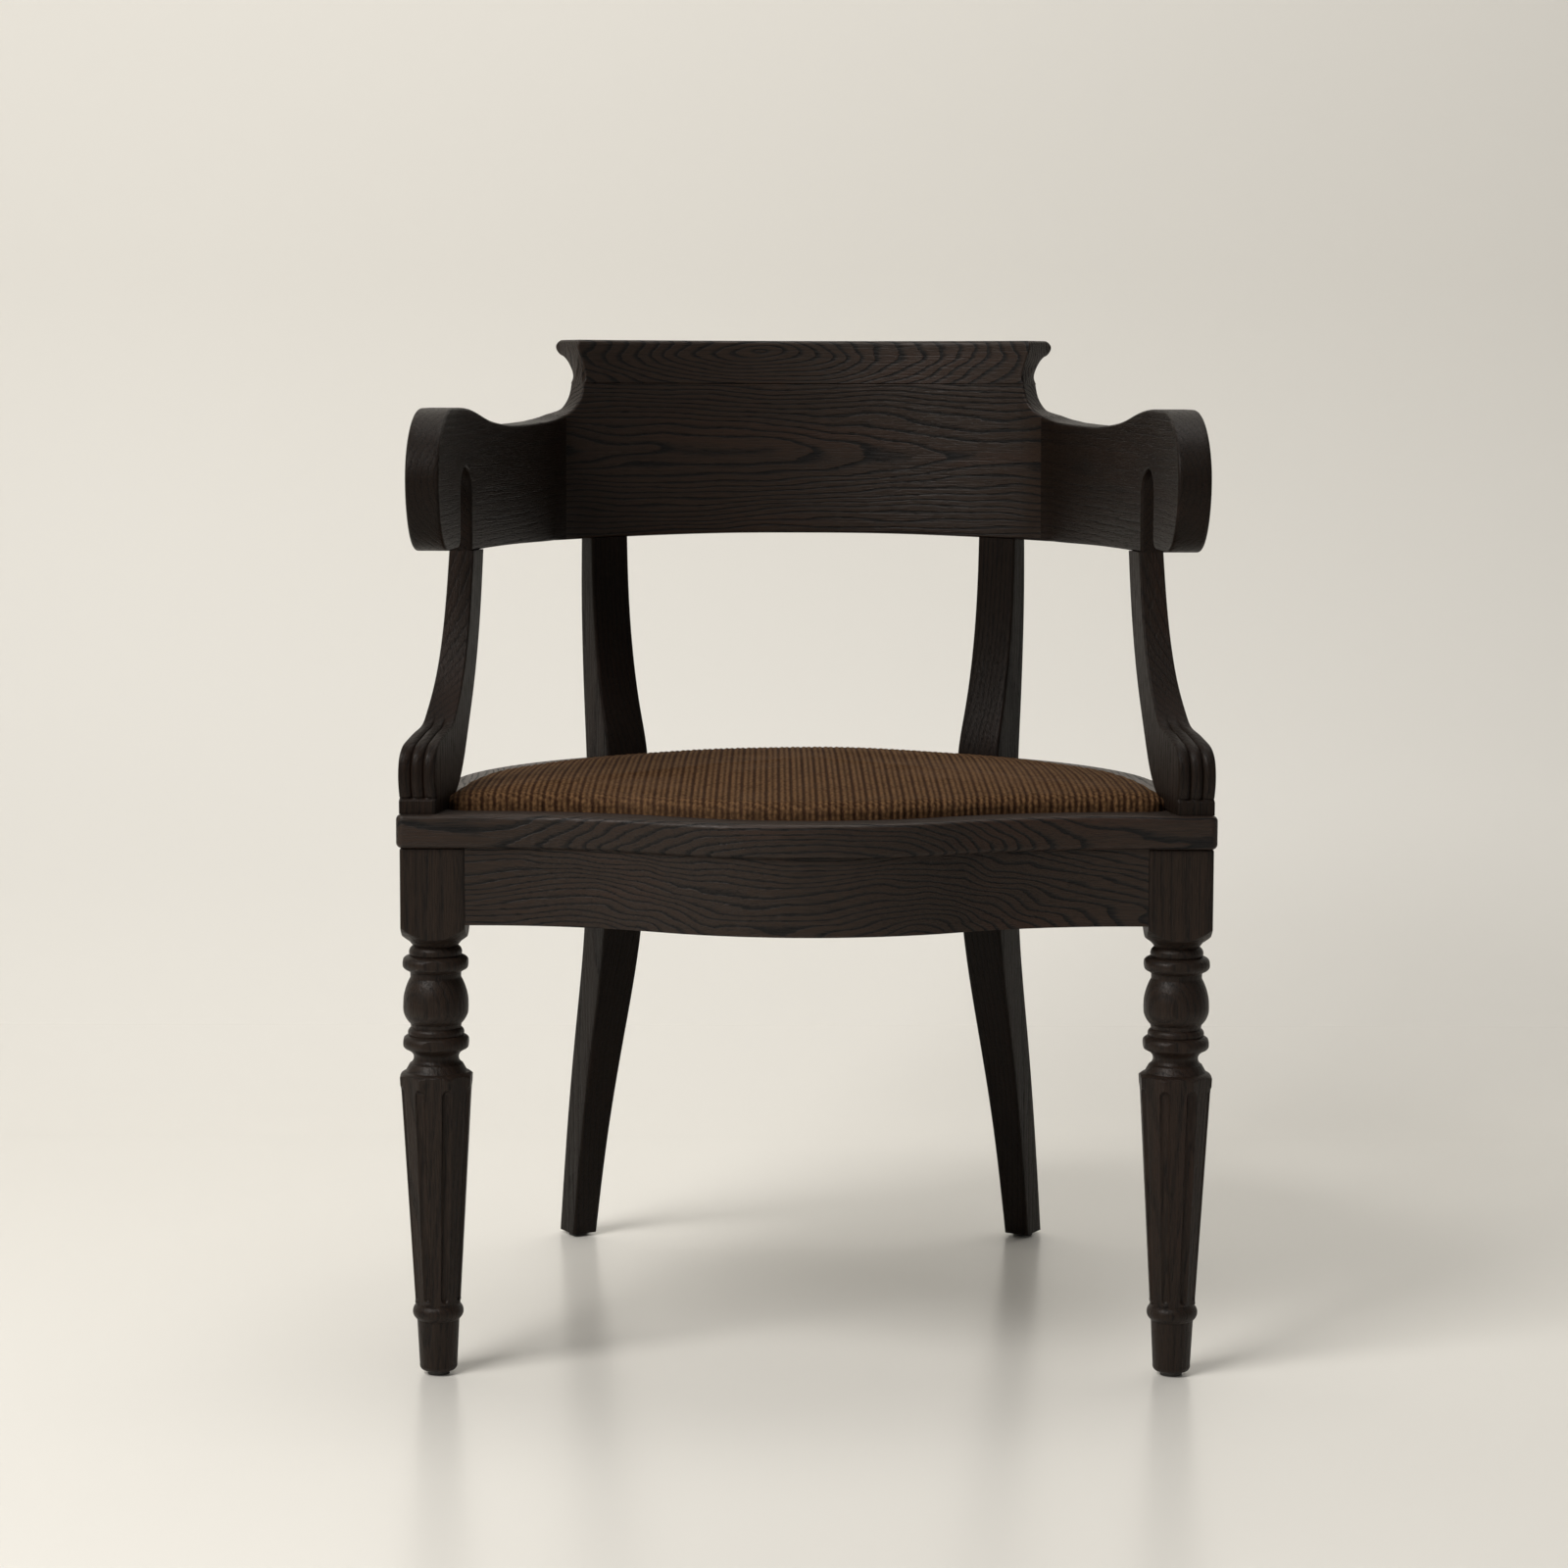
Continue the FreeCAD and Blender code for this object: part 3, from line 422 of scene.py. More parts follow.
@dataclass(frozen=True)
class DarkOak:
    """Open-pored oak with a near-black brown stain and a satin lacquer."""

    name: str
    grain: Grain = Grain.ATTRIBUTE
    pith: tuple[float, float] = (-0.03, 0.05)
    tilt: float = 0.045  # how much the pith line leans, sideways for each length
    ring: float = 0.0046  # width of a growth ring
    seed: float = 0.0
    figure: float = 1.0  # how strongly the growth rings show
    wander: float = 0.026  # how far they stray
    tone: float = 1.0  # share of the colours' lightness and of the gloss that is left: painted shade, darkening a whole piece that lies in shade
    late_wood: Colour = (0.0285, 0.0172, 0.0112)
    early_wood: Colour = (0.0042, 0.0030, 0.0026)
    streaked: Colour = (0.0072, 0.0052, 0.0044)
    thin_stain: Colour = (0.041, 0.0195, 0.0118)
    fibres: Colour = (0.0068, 0.0049, 0.0041)
    pores: Colour = (0.0022, 0.0018, 0.0017)

    def shade_darkened(self, colour: Colour) -> tuple[float, ...]:
        """The colour, darkened by the tone: painted shade."""
        return tuple(self.tone * c for c in colour)

    def make(self) -> bpy.types.Material:
        """Growth rings with a dark porous band, pores as short streaks, and slow changes of the stain.

        A ring is the fraction of the distance from the leaning pith line, which wanders by a slow and a
        ragged noise, over the ring's width. The early wood is dark from the ring's start.

        Returns:
            The material.
        """
        shop = Shader(self.name)
        along, across, depth = shop.axes(grain_vector(shop, self.grain))
        timber = (along + self.seed * 1.7, across, depth)
        slow = shop.cloud(timber, (5.5, 24.0, 24.0))
        ragged = shop.cloud(timber, (55.0, 420.0, 420.0), 3.0, 0.6)
        lean = across - self.pith[0] + along * self.tilt
        rise = depth - self.pith[1]
        radius = (lean * lean + rise * rise) ** 0.5
        wave = ((radius + slow * self.wander + ragged * 0.0011) * (1.0 / self.ring)).fraction()
        early = (1.0 - wave.rise(0.06, 0.42) + wave.rise(0.93, 1.0)) * self.figure
        streak = shop.cloud(timber, (9.0, 520.0, 520.0)).rise(0.5, 0.68)
        fibre = shop.cloud(timber, (26.0, 1500.0, 1500.0), 3.0, 0.6)
        vessel = shop.cloud(timber, (70.0, 1150.0, 1150.0), 1.0, 0.4)
        pore = vessel.rise(0.53, 0.62) * (early * 0.75 + 0.3)
        stain = shop.cloud(timber, (4.0, 26.0, 26.0), 3.0)
        # Every colour below is darkened by the tone, which paints shade over the whole piece.
        body = shop.mix(early, self.shade_darkened(self.late_wood), self.shade_darkened(self.early_wood))
        body = shop.mix(streak * (0.55 - 0.25 * self.figure), body, self.shade_darkened(self.streaked))
        body = shop.mix(stain.rise(0.48, 0.74) * (1.0 - early) * 0.6, body, self.shade_darkened(self.thin_stain))
        body = shop.mix(fibre.rise(0.3, 0.75) * 0.4, body, self.shade_darkened(self.fibres))
        body = shop.mix(pore * 0.9, body, self.shade_darkened(self.pores))
        height = fibre * 0.3 - early * 0.55 - pore * 0.9 - streak * 0.25
        shop.set(Base_Color=body, Roughness=0.43 + early * 0.1 + pore * 0.2,
                 Normal=shop.bump(height, 0.0005, 0.85), Coat_Weight=0.04 * self.tone, Coat_Roughness=0.3,
                 Specular_IOR_Level=0.24 * self.tone)
        return shop.material


@dataclass(frozen=True)
class PlainTimber:
    """Unstained framing timber: beech rails and blocks, dowels, or the veneers of plywood."""

    name: str
    pale: Colour
    deep: Colour
    grain: Grain
    fleck: float = 520.0  # flecks across the grain, per metre

    def make(self) -> bpy.types.Material:
        """Long soft streaks with short flecks: noise stretched along the grain.

        Returns:
            The material.
        """
        shop = Shader(self.name)
        timber = shop.axes(grain_vector(shop, self.grain))
        streak = shop.cloud(timber, (7.0, 90.0, 90.0), 4.0, 0.55)
        fleck = shop.cloud(timber, (90.0, self.fleck, self.fleck))
        colour = shop.mix(streak.rise(0.3, 0.72), self.pale, self.deep)
        colour = shop.mix(fleck.rise(0.6, 0.72) * 0.5, colour, tuple(0.6 * c for c in self.deep))
        shop.set(Base_Color=colour, Roughness=0.62 + streak * 0.1,
                 Normal=shop.bump(streak + fleck * 0.5, 0.0001, 0.5))
        return shop.material


@dataclass(frozen=True)
class RibbedChenille:
    """Brown chenille: soft pile ribs from front to back, between narrow woven channels, dark partly by their
    own colour and partly by painted shade.
    """

    name: str
    pitch: float
    knot: float = 0.0054  # spacing of the tufts along a rib
    rib: Colour = (0.148, 0.080, 0.037)
    shade: Colour = (0.031, 0.0138, 0.0072)
    tips: Colour = (0.17, 0.098, 0.056)
    worn: Colour = (0.16, 0.098, 0.062)

    def make(self) -> bpy.types.Material:
        """Ribs by the sine of the place across them; tufts as cells stretched over each rib.

        A slow drift and a fine fuzz shift the sines, so that no rib is quite straight.

        Returns:
            The material.
        """
        shop = Shader(self.name)
        cloth = shop.axes(grain_vector(shop, Grain.ATTRIBUTE))
        across, along, up = cloth
        drift = shop.cloud(cloth, (9.0, 12.0, 12.0))
        fuzz = shop.cloud(cloth, (900.0, 700.0, 900.0), 4.0, 0.65)
        phase = (across + drift * 0.0006 + fuzz * 0.0005) * (2.0 * math.pi / self.pitch)
        ridge = phase * 2.0 + 0.8
        crest = ridge.sine() * 0.34 + phase.sine() * 0.14 + 0.5
        knot = (along * (2.0 * math.pi / self.knot) + ridge * 0.5 + drift * 9.0).sine() * 0.5 + 0.5
        tuft = shop.node("ShaderNodeTexVoronoi", {},
                         {"Vector": shop.join(across * 320.0, along * 300.0, up * 320.0), "Scale": 1.0,
                          "Randomness": 0.8})
        worn = shop.cloud(cloth, (14.0, 14.0, 14.0), 3.0)
        # Darker in the channels between the ribs: partly the woven ground's own colour, partly painted shade.
        colour = shop.mix((crest * 0.75 + knot * 0.25).rise(0.1, 0.85), self.shade, self.rib)
        # Darker at the edges of the tufts, where the pile dips: painted shade.
        colour = shop.mix(tuft.rise(0.25, 0.8) * 0.55, colour, tuple(0.5 * c for c in self.shade))
        colour = shop.mix(fuzz.rise(0.5, 0.78) * 0.3, colour, self.tips)
        colour = shop.mix(worn.rise(0.45, 0.7) * 0.16, colour, self.worn)
        height = crest * 0.45 + knot * 0.3 - tuft * 0.35 + fuzz * 0.6
        shop.set(Base_Color=colour, Roughness=0.93, Normal=shop.bump(height, 0.0011, 0.85),
                 Specular_IOR_Level=0.04)
        return shop.material


@dataclass(frozen=True)
class WovenLining:
    """Black open woven lining under the seat, with its two thread directions."""

    name: str
    thread: float = 0.0009
    colour: Colour = (0.016, 0.0155, 0.015)
    dust: Colour = (0.05, 0.047, 0.042)

    def make(self) -> bpy.types.Material:
        """Threads by the product of two sines, one in each direction.

        Returns:
            The material.
        """
        shop = Shader(self.name)
        place = shop.place()
        x, y, _ = shop.axes(place)
        turn = 2.0 * math.pi / self.thread
        weave = (x * turn).sine() * (y * turn).sine() * 0.5 + 0.5
        dust = shop.noise(place, 40.0, 3.0)
        colour = shop.mix(weave, self.colour, tuple(2.2 * c for c in self.colour))
        colour = shop.mix(dust.rise(0.5, 0.8) * 0.3, colour, self.dust)
        shop.set(Base_Color=colour, Roughness=0.88, Normal=shop.bump(weave, 0.0002, 0.6))
        return shop.material


@dataclass(frozen=True)
class Foam:
    """Pale polyurethane foam with open cells."""

    name: str

    def make(self) -> bpy.types.Material:
        """Cells by the distance to scattered points.

        Returns:
            The material.
        """
        shop = Shader(self.name)
        place = shop.place()
        cell = shop.node("ShaderNodeTexVoronoi", {}, {"Vector": place, "Scale": 700.0})
        tone = shop.noise(place, 9.0, 2.0)
        colour = shop.mix(tone, (0.62, 0.52, 0.3), (0.7, 0.62, 0.4))
        # Darker where the cells dip: painted shade in their hollows.
        colour = shop.mix(cell.rise(0.5, 0.9) * 0.5, colour, (0.4, 0.32, 0.18))
        shop.set(Base_Color=colour, Roughness=0.95, Normal=shop.bump(1.0 - cell, 0.0005, 0.6))
        return shop.material


@dataclass(frozen=True)
class Metal:
    """Drawn steel of the screws, with fine scratches."""

    name: str
    colour: Colour = (0.42, 0.41, 0.39)

    def make(self) -> bpy.types.Material:
        """Fine scratches as stretched noise in the roughness and the bump.

        Returns:
            The material.
        """
        shop = Shader(self.name)
        place = shop.place()
        scratch = shop.cloud(shop.axes(place), (300.0, 300.0, 4000.0), 3.0)
        tone = shop.noise(place, 60.0, 2.0)
        colour = shop.mix(tone, self.colour, tuple(0.7 * c for c in self.colour))
        shop.set(Base_Color=colour, Metallic=1.0, Roughness=0.28 + scratch * 0.2,
                 Normal=shop.bump(scratch, 0.00003, 0.4))
        return shop.material


@dataclass(frozen=True)
class Moulded:
    """Hard dark plastic of the glides, scuffed underneath."""

    name: str
    colour: Colour = (0.055, 0.05, 0.045)

    def make(self) -> bpy.types.Material:
        """Fine moulded grain with pale scuffs.

        Returns:
            The material.
        """
        shop = Shader(self.name)
        place = shop.place()
        skin = shop.noise(place, 1400.0, 2.0)
        scuff = shop.noise(place, 160.0, 4.0, 0.7)
        colour = shop.mix(scuff.rise(0.55, 0.75) * 0.5, self.colour, (0.16, 0.15, 0.135))
        shop.set(Base_Color=colour, Roughness=0.42 + scuff * 0.25, Normal=shop.bump(skin, 0.00005, 0.5))
        return shop.material


def dress(piece: bpy.types.Object, material: bpy.types.Material) -> None:
    """Puts one material on every face of a piece.

    Args:
        piece: the mesh object.
        material: the material that fills each of its slots.
    """
    slots = piece.data.materials
    if not slots:
        slots.append(material)
    for k in range(len(slots)):
        slots[k] = material


def place_piece(piece: bpy.types.Object, slot: str, *nodes: str) -> None:
    """Hands a new piece to the frame.

    Args:
        piece: the mesh object.
        slot: the name of a material slot; not used.
        nodes: the CAD nodes that it stands for.
    """
    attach(piece, "root")
    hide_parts(*nodes)
    LOG.info("%s stands for %s", piece.name, ", ".join(nodes))


def oak_piece(node: str, points: Array, wood: Array, finish: DarkOak, caps: tuple[bool, bool] = (True, True),
              angle: float = 38.0) -> None:
    """Makes, dresses and places the oak piece that stands for one node.

    Args:
        node: the CAD node.
        points: the piece's grid of points.
        wood: the wood's own coordinates, of the same shape.
        finish: its finish.
        caps: whether its first and last station get a flat cap.
        angle: edges sharper than this many degrees stay sharp.
    """
    piece = grid_object(node + "_oak", points, wood, caps, angle)
    dress(piece, finish.make())
    place_piece(piece, "dark_wood", node)


def oak_pair(stem: str, shapes: tuple[Array, Array], wood: Array, finish: DarkOak, seeds: tuple[float, float],
             caps: tuple[bool, bool] = (True, True), angle: float = 38.0) -> None:
    """Makes, dresses and places the left and the right one of a pair.

    Args:
        stem: the nodes' name without the side.
        shapes: the left and the right grid of points.
        wood: the wood's own coordinates, for both.
        finish: the finish, but for its name and seed.
        seeds: the left and the right seed.
        caps: whether the first and last station get a flat cap.
        angle: edges sharper than this many degrees stay sharp.
    """
    for side, shape, seed in zip(("left", "right"), shapes, seeds):
        node = f"{stem}_{side}"
        oak_piece(node, shape, wood, replace(finish, name="oak_" + node, seed=seed), caps, angle)


# Outlines

def trace(start: Mark, steps: Sequence[Mark], pitch: float = 0.6) -> Array:
    """Points along straight runs and arcs.

    A step of two numbers is a straight run to that point. A step of four numbers is an arc through
    its first point to its second: the circle's centre is where the two chords' bisectors meet.

    Args:
        start: the first point.
        steps: the runs and arcs that follow.
        pitch: the distance between samples.

    Returns:
        Samples, one row each.
    """
    parts = [np.asarray([start], float)]
    here = np.asarray(start, float)
    for step in steps:
        end = np.asarray(step[-2:], float)
        if len(step) == 2:
            count = max(int(np.linalg.norm(end - here) / pitch), 1)
            share = np.linspace(0, 1, count + 1)[1:, None]
            parts.append(here + (end - here) * share)
        else:
            middle = np.asarray(step[:2], float)
            a, b = middle - here, end - here
            twice = 2 * (a[0] * b[1] - a[1] * b[0])
            centre = here + np.array([b[1] * (a @ a) - a[1] * (b @ b),
                                      a[0] * (b @ b) - b[0] * (a @ a)]) / twice
            radius = np.linalg.norm(here - centre)
            first, last = (math.atan2(p[1] - centre[1], p[0] - centre[0]) for p in (here, end))
            way = 1.0 if twice > 0 else -1.0
            sweep = way * ((way * (last - first)) % (2 * math.pi))
            count = max(int(abs(sweep) * radius / pitch), 3)
            angle = first + sweep * np.linspace(0, 1, count + 1)[1:]
            parts.append(centre + radius * np.stack([np.cos(angle), np.sin(angle)], -1))
        here = end
    return np.concatenate(parts)


def along_line(line: Array, marks: Sequence[Mark], counts: Sequence[int]) -> Array:
    """Stations on a line between marked places, evenly spaced by arc length in each stretch.

    Args:
        line: samples of the line.
        marks: points close to the line, in its order; the first and last are its ends.
        counts: how many steps each stretch gets.

    Returns:
        The stations, one more than all counts.
    """
    step = np.linalg.norm(np.diff(line, axis=0), axis=1)
    run = np.concatenate([[0], np.cumsum(step)])
    places = [run[np.argmin(np.linalg.norm(line - np.asarray(mark, float), axis=1))] for mark in marks]
    spans = [np.linspace(a, b, n + 1)[:-1] for a, b, n in zip(places, places[1:], counts)]
    where = np.concatenate(spans + [[places[-1]]])
    return np.stack([np.interp(where, run, line[:, 0]), np.interp(where, run, line[:, 1])], -1)


def inward(line: Array, side: float) -> Array:
    """Unit normals of a line: its step turned a quarter.

    Args:
        line: the line's points, one row each.
        side: 1 turns clockwise, -1 anticlockwise.

    Returns:
        The normals, one row each.
    """
    step = np.gradient(line, axis=0)
    normal = np.stack([step[:, 1], -step[:, 0]], -1) * side
    return normal / np.maximum(np.linalg.norm(normal, axis=1, keepdims=True), 1e-9)


@dataclass
class Slab:
    """A sawn board: two edge lines in its side view, and a thickness across it."""

    low: Array
    high: Array
    thickness: float
    low_round: float = 2.2
    high_round: Union[float, Array] = 2.2
    across: int = 8
    corner: int = 4
    up: int = 14
    sense: float = 1.0  # 1 when the low line runs with the board's body on its clockwise side

    def loops(self) -> tuple[Array, Array]:
        """Section loops with rounded corners.

        On each edge line the loop runs over the edge and turns into the faces: at an angle t it lies
        one radius times (1 - cos t) inside the line and one radius times (1 - sin t) from the face.

        Returns:
            The places in the side view, stations by loop points by 2, and the places across the board.
        """
        turn = np.linspace(0, math.pi / 2, self.corner + 1)
        rounds = [np.broadcast_to(r, len(self.low)) for r in (self.low_round, self.high_round)]
        normals = (inward(self.low, self.sense), inward(self.high, -self.sense))
        side_parts, wide_parts = [], []
        for face, (line, normal, r) in enumerate(zip((self.low, self.high), normals, rounds)):
            r = r[:, None]
            flat = np.linspace(0, 1, self.across + 1)[None, 1:-1]
            lead = turn[::-1]
            depth_in = r * (1 - np.cos(lead))
            edge_a = r * (1 - np.sin(lead))
            edge_b = self.thickness - edge_a[:, ::-1]
            middle = r + (self.thickness - 2 * r) * flat
            inset = np.concatenate([depth_in, np.zeros((len(line), flat.shape[1])), depth_in[:, ::-1]], 1)
            wide = np.concatenate([edge_a, middle, edge_b], 1)
            if face == 1:
                wide = wide[:, ::-1]
            side_parts.append(line[:, None, :] + normal[:, None, :] * inset[..., None])
            wide_parts.append(wide)
        share = np.linspace(0, 1, self.up + 1)[1:-1][None, :, None]
        outer = side_parts[0][:, -1:, :] * (1 - share) + side_parts[1][:, :1, :] * share
        inner = side_parts[1][:, -1:, :] * (1 - share) + side_parts[0][:, :1, :] * share
        full = np.full((len(self.low), self.up - 1), self.thickness)
        side = np.concatenate([side_parts[0], outer, side_parts[1], inner], 1)
        wide = np.concatenate([wide_parts[0], full, wide_parts[1], np.zeros_like(full)], 1)
        return side, wide


# The horseshoe rail

@dataclass
class Horseshoe:
    """Back rail and arms in one sweep: a notch beside the crest, and slotted round arm ends."""

    thickness: float = 25.0
    centre_y: float = 158.0
    radius: float = 330.0
    turn: float = 34.5
    corner: float = 60.0
    flare: float = 10.0
    run: float = 257.0
    sweep: float = 785.0
    tip_flare: float = 3.2
    tip_y: float = -44.0
    joint: float = 57.0
    bottom: float = 629.0
    dip: float = 3.6
    crease: float = 758.6
    arm_top: float = 740.0
    waist: float = 725.0
    notch_x: float = 187.0
    notch_turn: float = 30.0
    disc: Triple = (16.0, 687.0, 53.5)  # depth, height and radius of the round end's lower quarter
    slot: Triple = (76.0, 117.0, 694.0)  # front, back and top of the slot
    arm_from: float = 345.0  # depth from which the arm has its own side view
    heel: float = 11.0
    ease: float = 2.2
    fine: int = 400  # samples on each stretch of the plan line

    def __post_init__(self) -> None:
        """Samples the plan line of the inner face, with its normals, curve radii and through-cuts."""
        t1, t2, t3 = rad(self.turn), rad(90 - self.flare), rad(90 - self.tip_flare)
        bend = self.spot(self.radius - self.corner, t1)
        end = bend + self.normal(t2) * self.corner + self.ahead(t2) * self.run
        hub = end - self.normal(t2) * self.sweep
        stop = hub + self.normal(t3) * self.sweep
        reach = (self.tip_y - stop[1]) / self.ahead(t3)[1]
        hinge = np.array([0.0, self.centre_y])
        stretches = [(0.0, t1, self.radius, hinge), (t1, t2, self.corner, bend), (t2, t2, self.run, None),
                     (t2, t3, self.sweep, hub), (t3, t3, reach, None)]
        points, angles, radii = [], [], []
        here = self.spot(self.radius, 0.0)
        for a, b, size, middle in stretches:
            angles.append(np.linspace(a, b, self.fine))
            if middle is None:
                points.append(here + self.ahead(a) * np.linspace(0, size, self.fine)[:, None])
                radii.append(np.full(self.fine, STRAIGHT))
            else:
                points.append(middle + size * np.stack([np.sin(angles[-1]), np.cos(angles[-1])], -1))
                radii.append(np.full(self.fine, size))
            here = points[-1][-1]
        self.points = np.concatenate(points)
        self.angles = np.concatenate(angles)
        self.radii = np.concatenate(radii)
        step = np.linalg.norm(np.diff(self.points, axis=0), axis=1)
        self.length = np.concatenate([[0], np.cumsum(step)]) + np.arange(len(self.points)) * 1e-7
        self.cut = self.through()

    def spot(self, radius: float, turn: float) -> Array:
        """Plan point at a radius from the middle of the back arc."""
        return np.array([radius * math.sin(turn), self.centre_y + radius * math.cos(turn)])

    def normal(self, turn: float) -> Array:
        """Plan direction at an angle from the Y axis."""
        return np.array([math.sin(turn), math.cos(turn)])

    def ahead(self, turn: float) -> Array:
        """Plan direction along the rail, from the back towards the arm's tip."""
        return np.array([math.cos(turn), -math.sin(turn)])

    def through(self) -> Array:
        """Angle of the cuts through the thickness.

        Square to the curve in the back, fixed at the notch's own angle beside the crest, square again
        at the joint, and straight sideways along the arm; smooth steps lead from one to the next.

        Returns:
            The angle at each sample of the plan line.
        """
        square = self.angles
        share = smooth_step(square, rad(46), rad(self.joint - 0.5))
        angle = np.minimum(square, rad(self.notch_turn)) * (1 - share) + square * share
        arm = smooth_step(-self.points[:, 1], -385.0, -345.0)
        return angle * (1 - arm) + math.pi / 2 * arm

    def at(self, length: Array, wide: Array) -> Array:
        """Plan places for lengths along the inner face and places through the thickness.

        The cut leaves the inner face at an angle e from square. On a curve of radius R it meets the
        line set out by w after sqrt((R + w) squared - (R sin e) squared) - R cos e.

        Args:
            length: lengths along the inner face.
            wide: places through the thickness, from 0 on the inner face.

        Returns:
            Plan points.
        """
        x, y, square, cut, bent = (np.interp(length, self.length, row) for row in (
            self.points[:, 0], self.points[:, 1], self.angles, self.cut, np.log(self.radii)))
        radius = np.exp(bent)
        lean = square - cut
        far = np.sqrt((radius + wide) ** 2 - (radius * np.sin(lean)) ** 2) - radius * np.cos(lean)
        return np.stack([x + np.sin(cut) * far, y + np.cos(cut) * far], -1)

    def length_at(self, y: Array) -> Array:
        """Length along the inner face where the arm has a depth y."""
        half = len(self.points) // 4
        return np.interp(-np.asarray(y, float), -self.points[half:, 1], self.length[half:])

    def joint_length(self) -> float:
        """Length at which the arm is jointed to the back."""
        k = int(np.argmin(np.abs(self.angles - rad(self.joint)) + (self.length > self.length[-1] / 2)))
        return float(self.length[k])

    def lower_edge(self, x: Array) -> Array:
        """Height of the lower edge, which dips a little towards the corners.

        Args:
            x: places to the side of the middle.

        Returns:
            Heights: the bottom less the dip times a flowing share of it.
        """
        line = flowing([(0, 0), (60, 0.04), (105, 0.25), (150, 0.58), (190, 0.9), (208, 1.0), (218, 0.84),
                        (228, 0.5), (242, 0.12), (252, 0)], self.fine)
        return self.bottom - self.dip * np.interp(np.abs(x), line[:, 0], line[:, 1], right=0.0)

    def notch(self, length: Array) -> Array:
        """Height of the upper edge beside the crest, as a flowing line through its marks along the notch.

        Args:
            length: lengths along the inner face.

        Returns:
            Heights; on the crest's side of the notch, that of the crease.
        """
        start = np.array([self.notch_x, self.centre_y + math.sqrt(self.radius ** 2 - self.notch_x ** 2)])
        way = self.ahead(rad(self.notch_turn))
        x = np.interp(length, self.length, self.points[:, 0])
        y = np.interp(length, self.length, self.points[:, 1])
        s = (x - start[0]) * way[0] + (y - start[1]) * way[1]
        wall, w = 1.4, self.waist
        line = flowing([(wall, self.crease), (2.4, w + 29), (5.6, w + 20.5), (12, w + 12.6), (22.5, w + 6.6),
                        (42, w + 2.6), (78, w + 1)], self.fine)
        return np.where(s < wall, self.crease, np.interp(s, line[:, 0], line[:, 1]))

    def back(self) -> tuple[Array, Array]:
        """Back rail with both notches, from one arm joint to the other.

        Returns:
            The grid of points, and the wood's own coordinates.
        """
        bent = 2 * self.fine  # the back arc and the corner
        start = np.interp(rad(self.turn), self.angles[:bent], self.length[:bent])
        stops = (0, start - 2, start + 16)
        half = np.concatenate([np.linspace(a, b, n)[:-1] for a, b, n in zip(stops, stops[1:], (90, 64))]
                              + [np.linspace(stops[-1], self.joint_length(), 26)])
        low = np.stack([half, np.full_like(half, self.bottom)], -1)
        high = np.stack([half, self.notch(half)], -1)
        ease = 0.5 + (self.ease - 0.5) * smooth_step(half, start - 1, start + 5)
        side, wide = Slab(low, high, self.thickness, self.ease, ease, sense=-1.0).loops()
        right = self.solid(side, wide)
        points = np.concatenate([mirrored(right)[::-1][:-1], right])
        along = np.concatenate([-side[::-1, :, 0], side[1:, :, 0]])
        return points, np.stack([along, np.concatenate([wide[::-1], wide[1:]]), points[..., 2]], -1)

    def solid(self, side: Array, wide: Array) -> Array:
        """Puts section loops into space.

        The dip of the lower edge fades out evenly between the heights of 640 and 700.

        Args:
            side: (length, height) places in the side view.
            wide: places through the thickness.

        Returns:
            Points.
        """
        plan = self.at(side[..., 0], wide)
        fade = np.clip((700.0 - side[..., 1]) / 60.0, 0.0, 1.0)
        lift = (self.lower_edge(plan[..., 0]) - self.bottom) * fade
        return np.concatenate([plan, (side[..., 1] + lift)[..., None]], -1)

    def arm_lines(self) -> tuple[Array, Array]:
        """Lower and upper edge of the arm from its joint to the nose of the round end.

        The lower edge goes up and over the slot and round the disc; the upper edge is a quarter of an
        ellipse at the tip, then a flowing line down to the waist. Stations are paired stretch by stretch.

        Returns:
            The (depth, height) stations of the lower and of the upper edge.
        """
        disc_y, disc_z, r = self.disc
        front, back, arch = self.slot
        far, top, waist = self.arm_from, self.arm_top, self.waist
        half = (back - front) / 2
        low_z = disc_z - r
        shoulder = arch - half
        crown = ((front + back) / 2, arch)
        cheek = (disc_y - r * math.sqrt(0.5), disc_z - r * math.sqrt(0.5))
        nose = (disc_y - r, disc_z)
        bulge = BULGE * self.heel
        lower = trace((far, self.bottom), [
            (back, self.bottom), (back, shoulder), (*crown, front, shoulder), (front, low_z + self.heel),
            (front - bulge, low_z + bulge, front - self.heel, low_z), (disc_y, low_z), (*cheek, *nose)], 0.3)
        turn = np.linspace(0, math.pi / 2, 120)
        top_y = disc_y + 24
        curl = np.stack([top_y - (top_y - nose[0]) * np.sin(turn), disc_z + (top - disc_z) * np.cos(turn)], -1)
        fall = flowing([(far, waist + 1), (300, waist + 0.2), (250, waist), (212, waist + 1.7), (175, top - 10),
                        (138, top - 4), (110, top - 0.9), (85, top), (60, top)], 300)
        upper = np.concatenate([fall, curl])
        low_marks = [(far, self.bottom), (back + 8, self.bottom), (back, self.bottom), (back, shoulder), crown,
                     (front, shoulder), (front, low_z + self.heel), (front - self.heel, low_z),
                     (disc_y, low_z), cheek, nose]
        high_marks = [(far, waist + 1), (150, top - 6), (138, top - 4), (114, top - 1), (97, top), (80, top),
                      (62, top), (50, top), (24, 739), (-18, 720), nose]
        counts = (60, 8, 26, 16, 16, 18, 12, 22, 24, 26)
        return along_line(lower, low_marks, counts), along_line(upper, high_marks, counts)

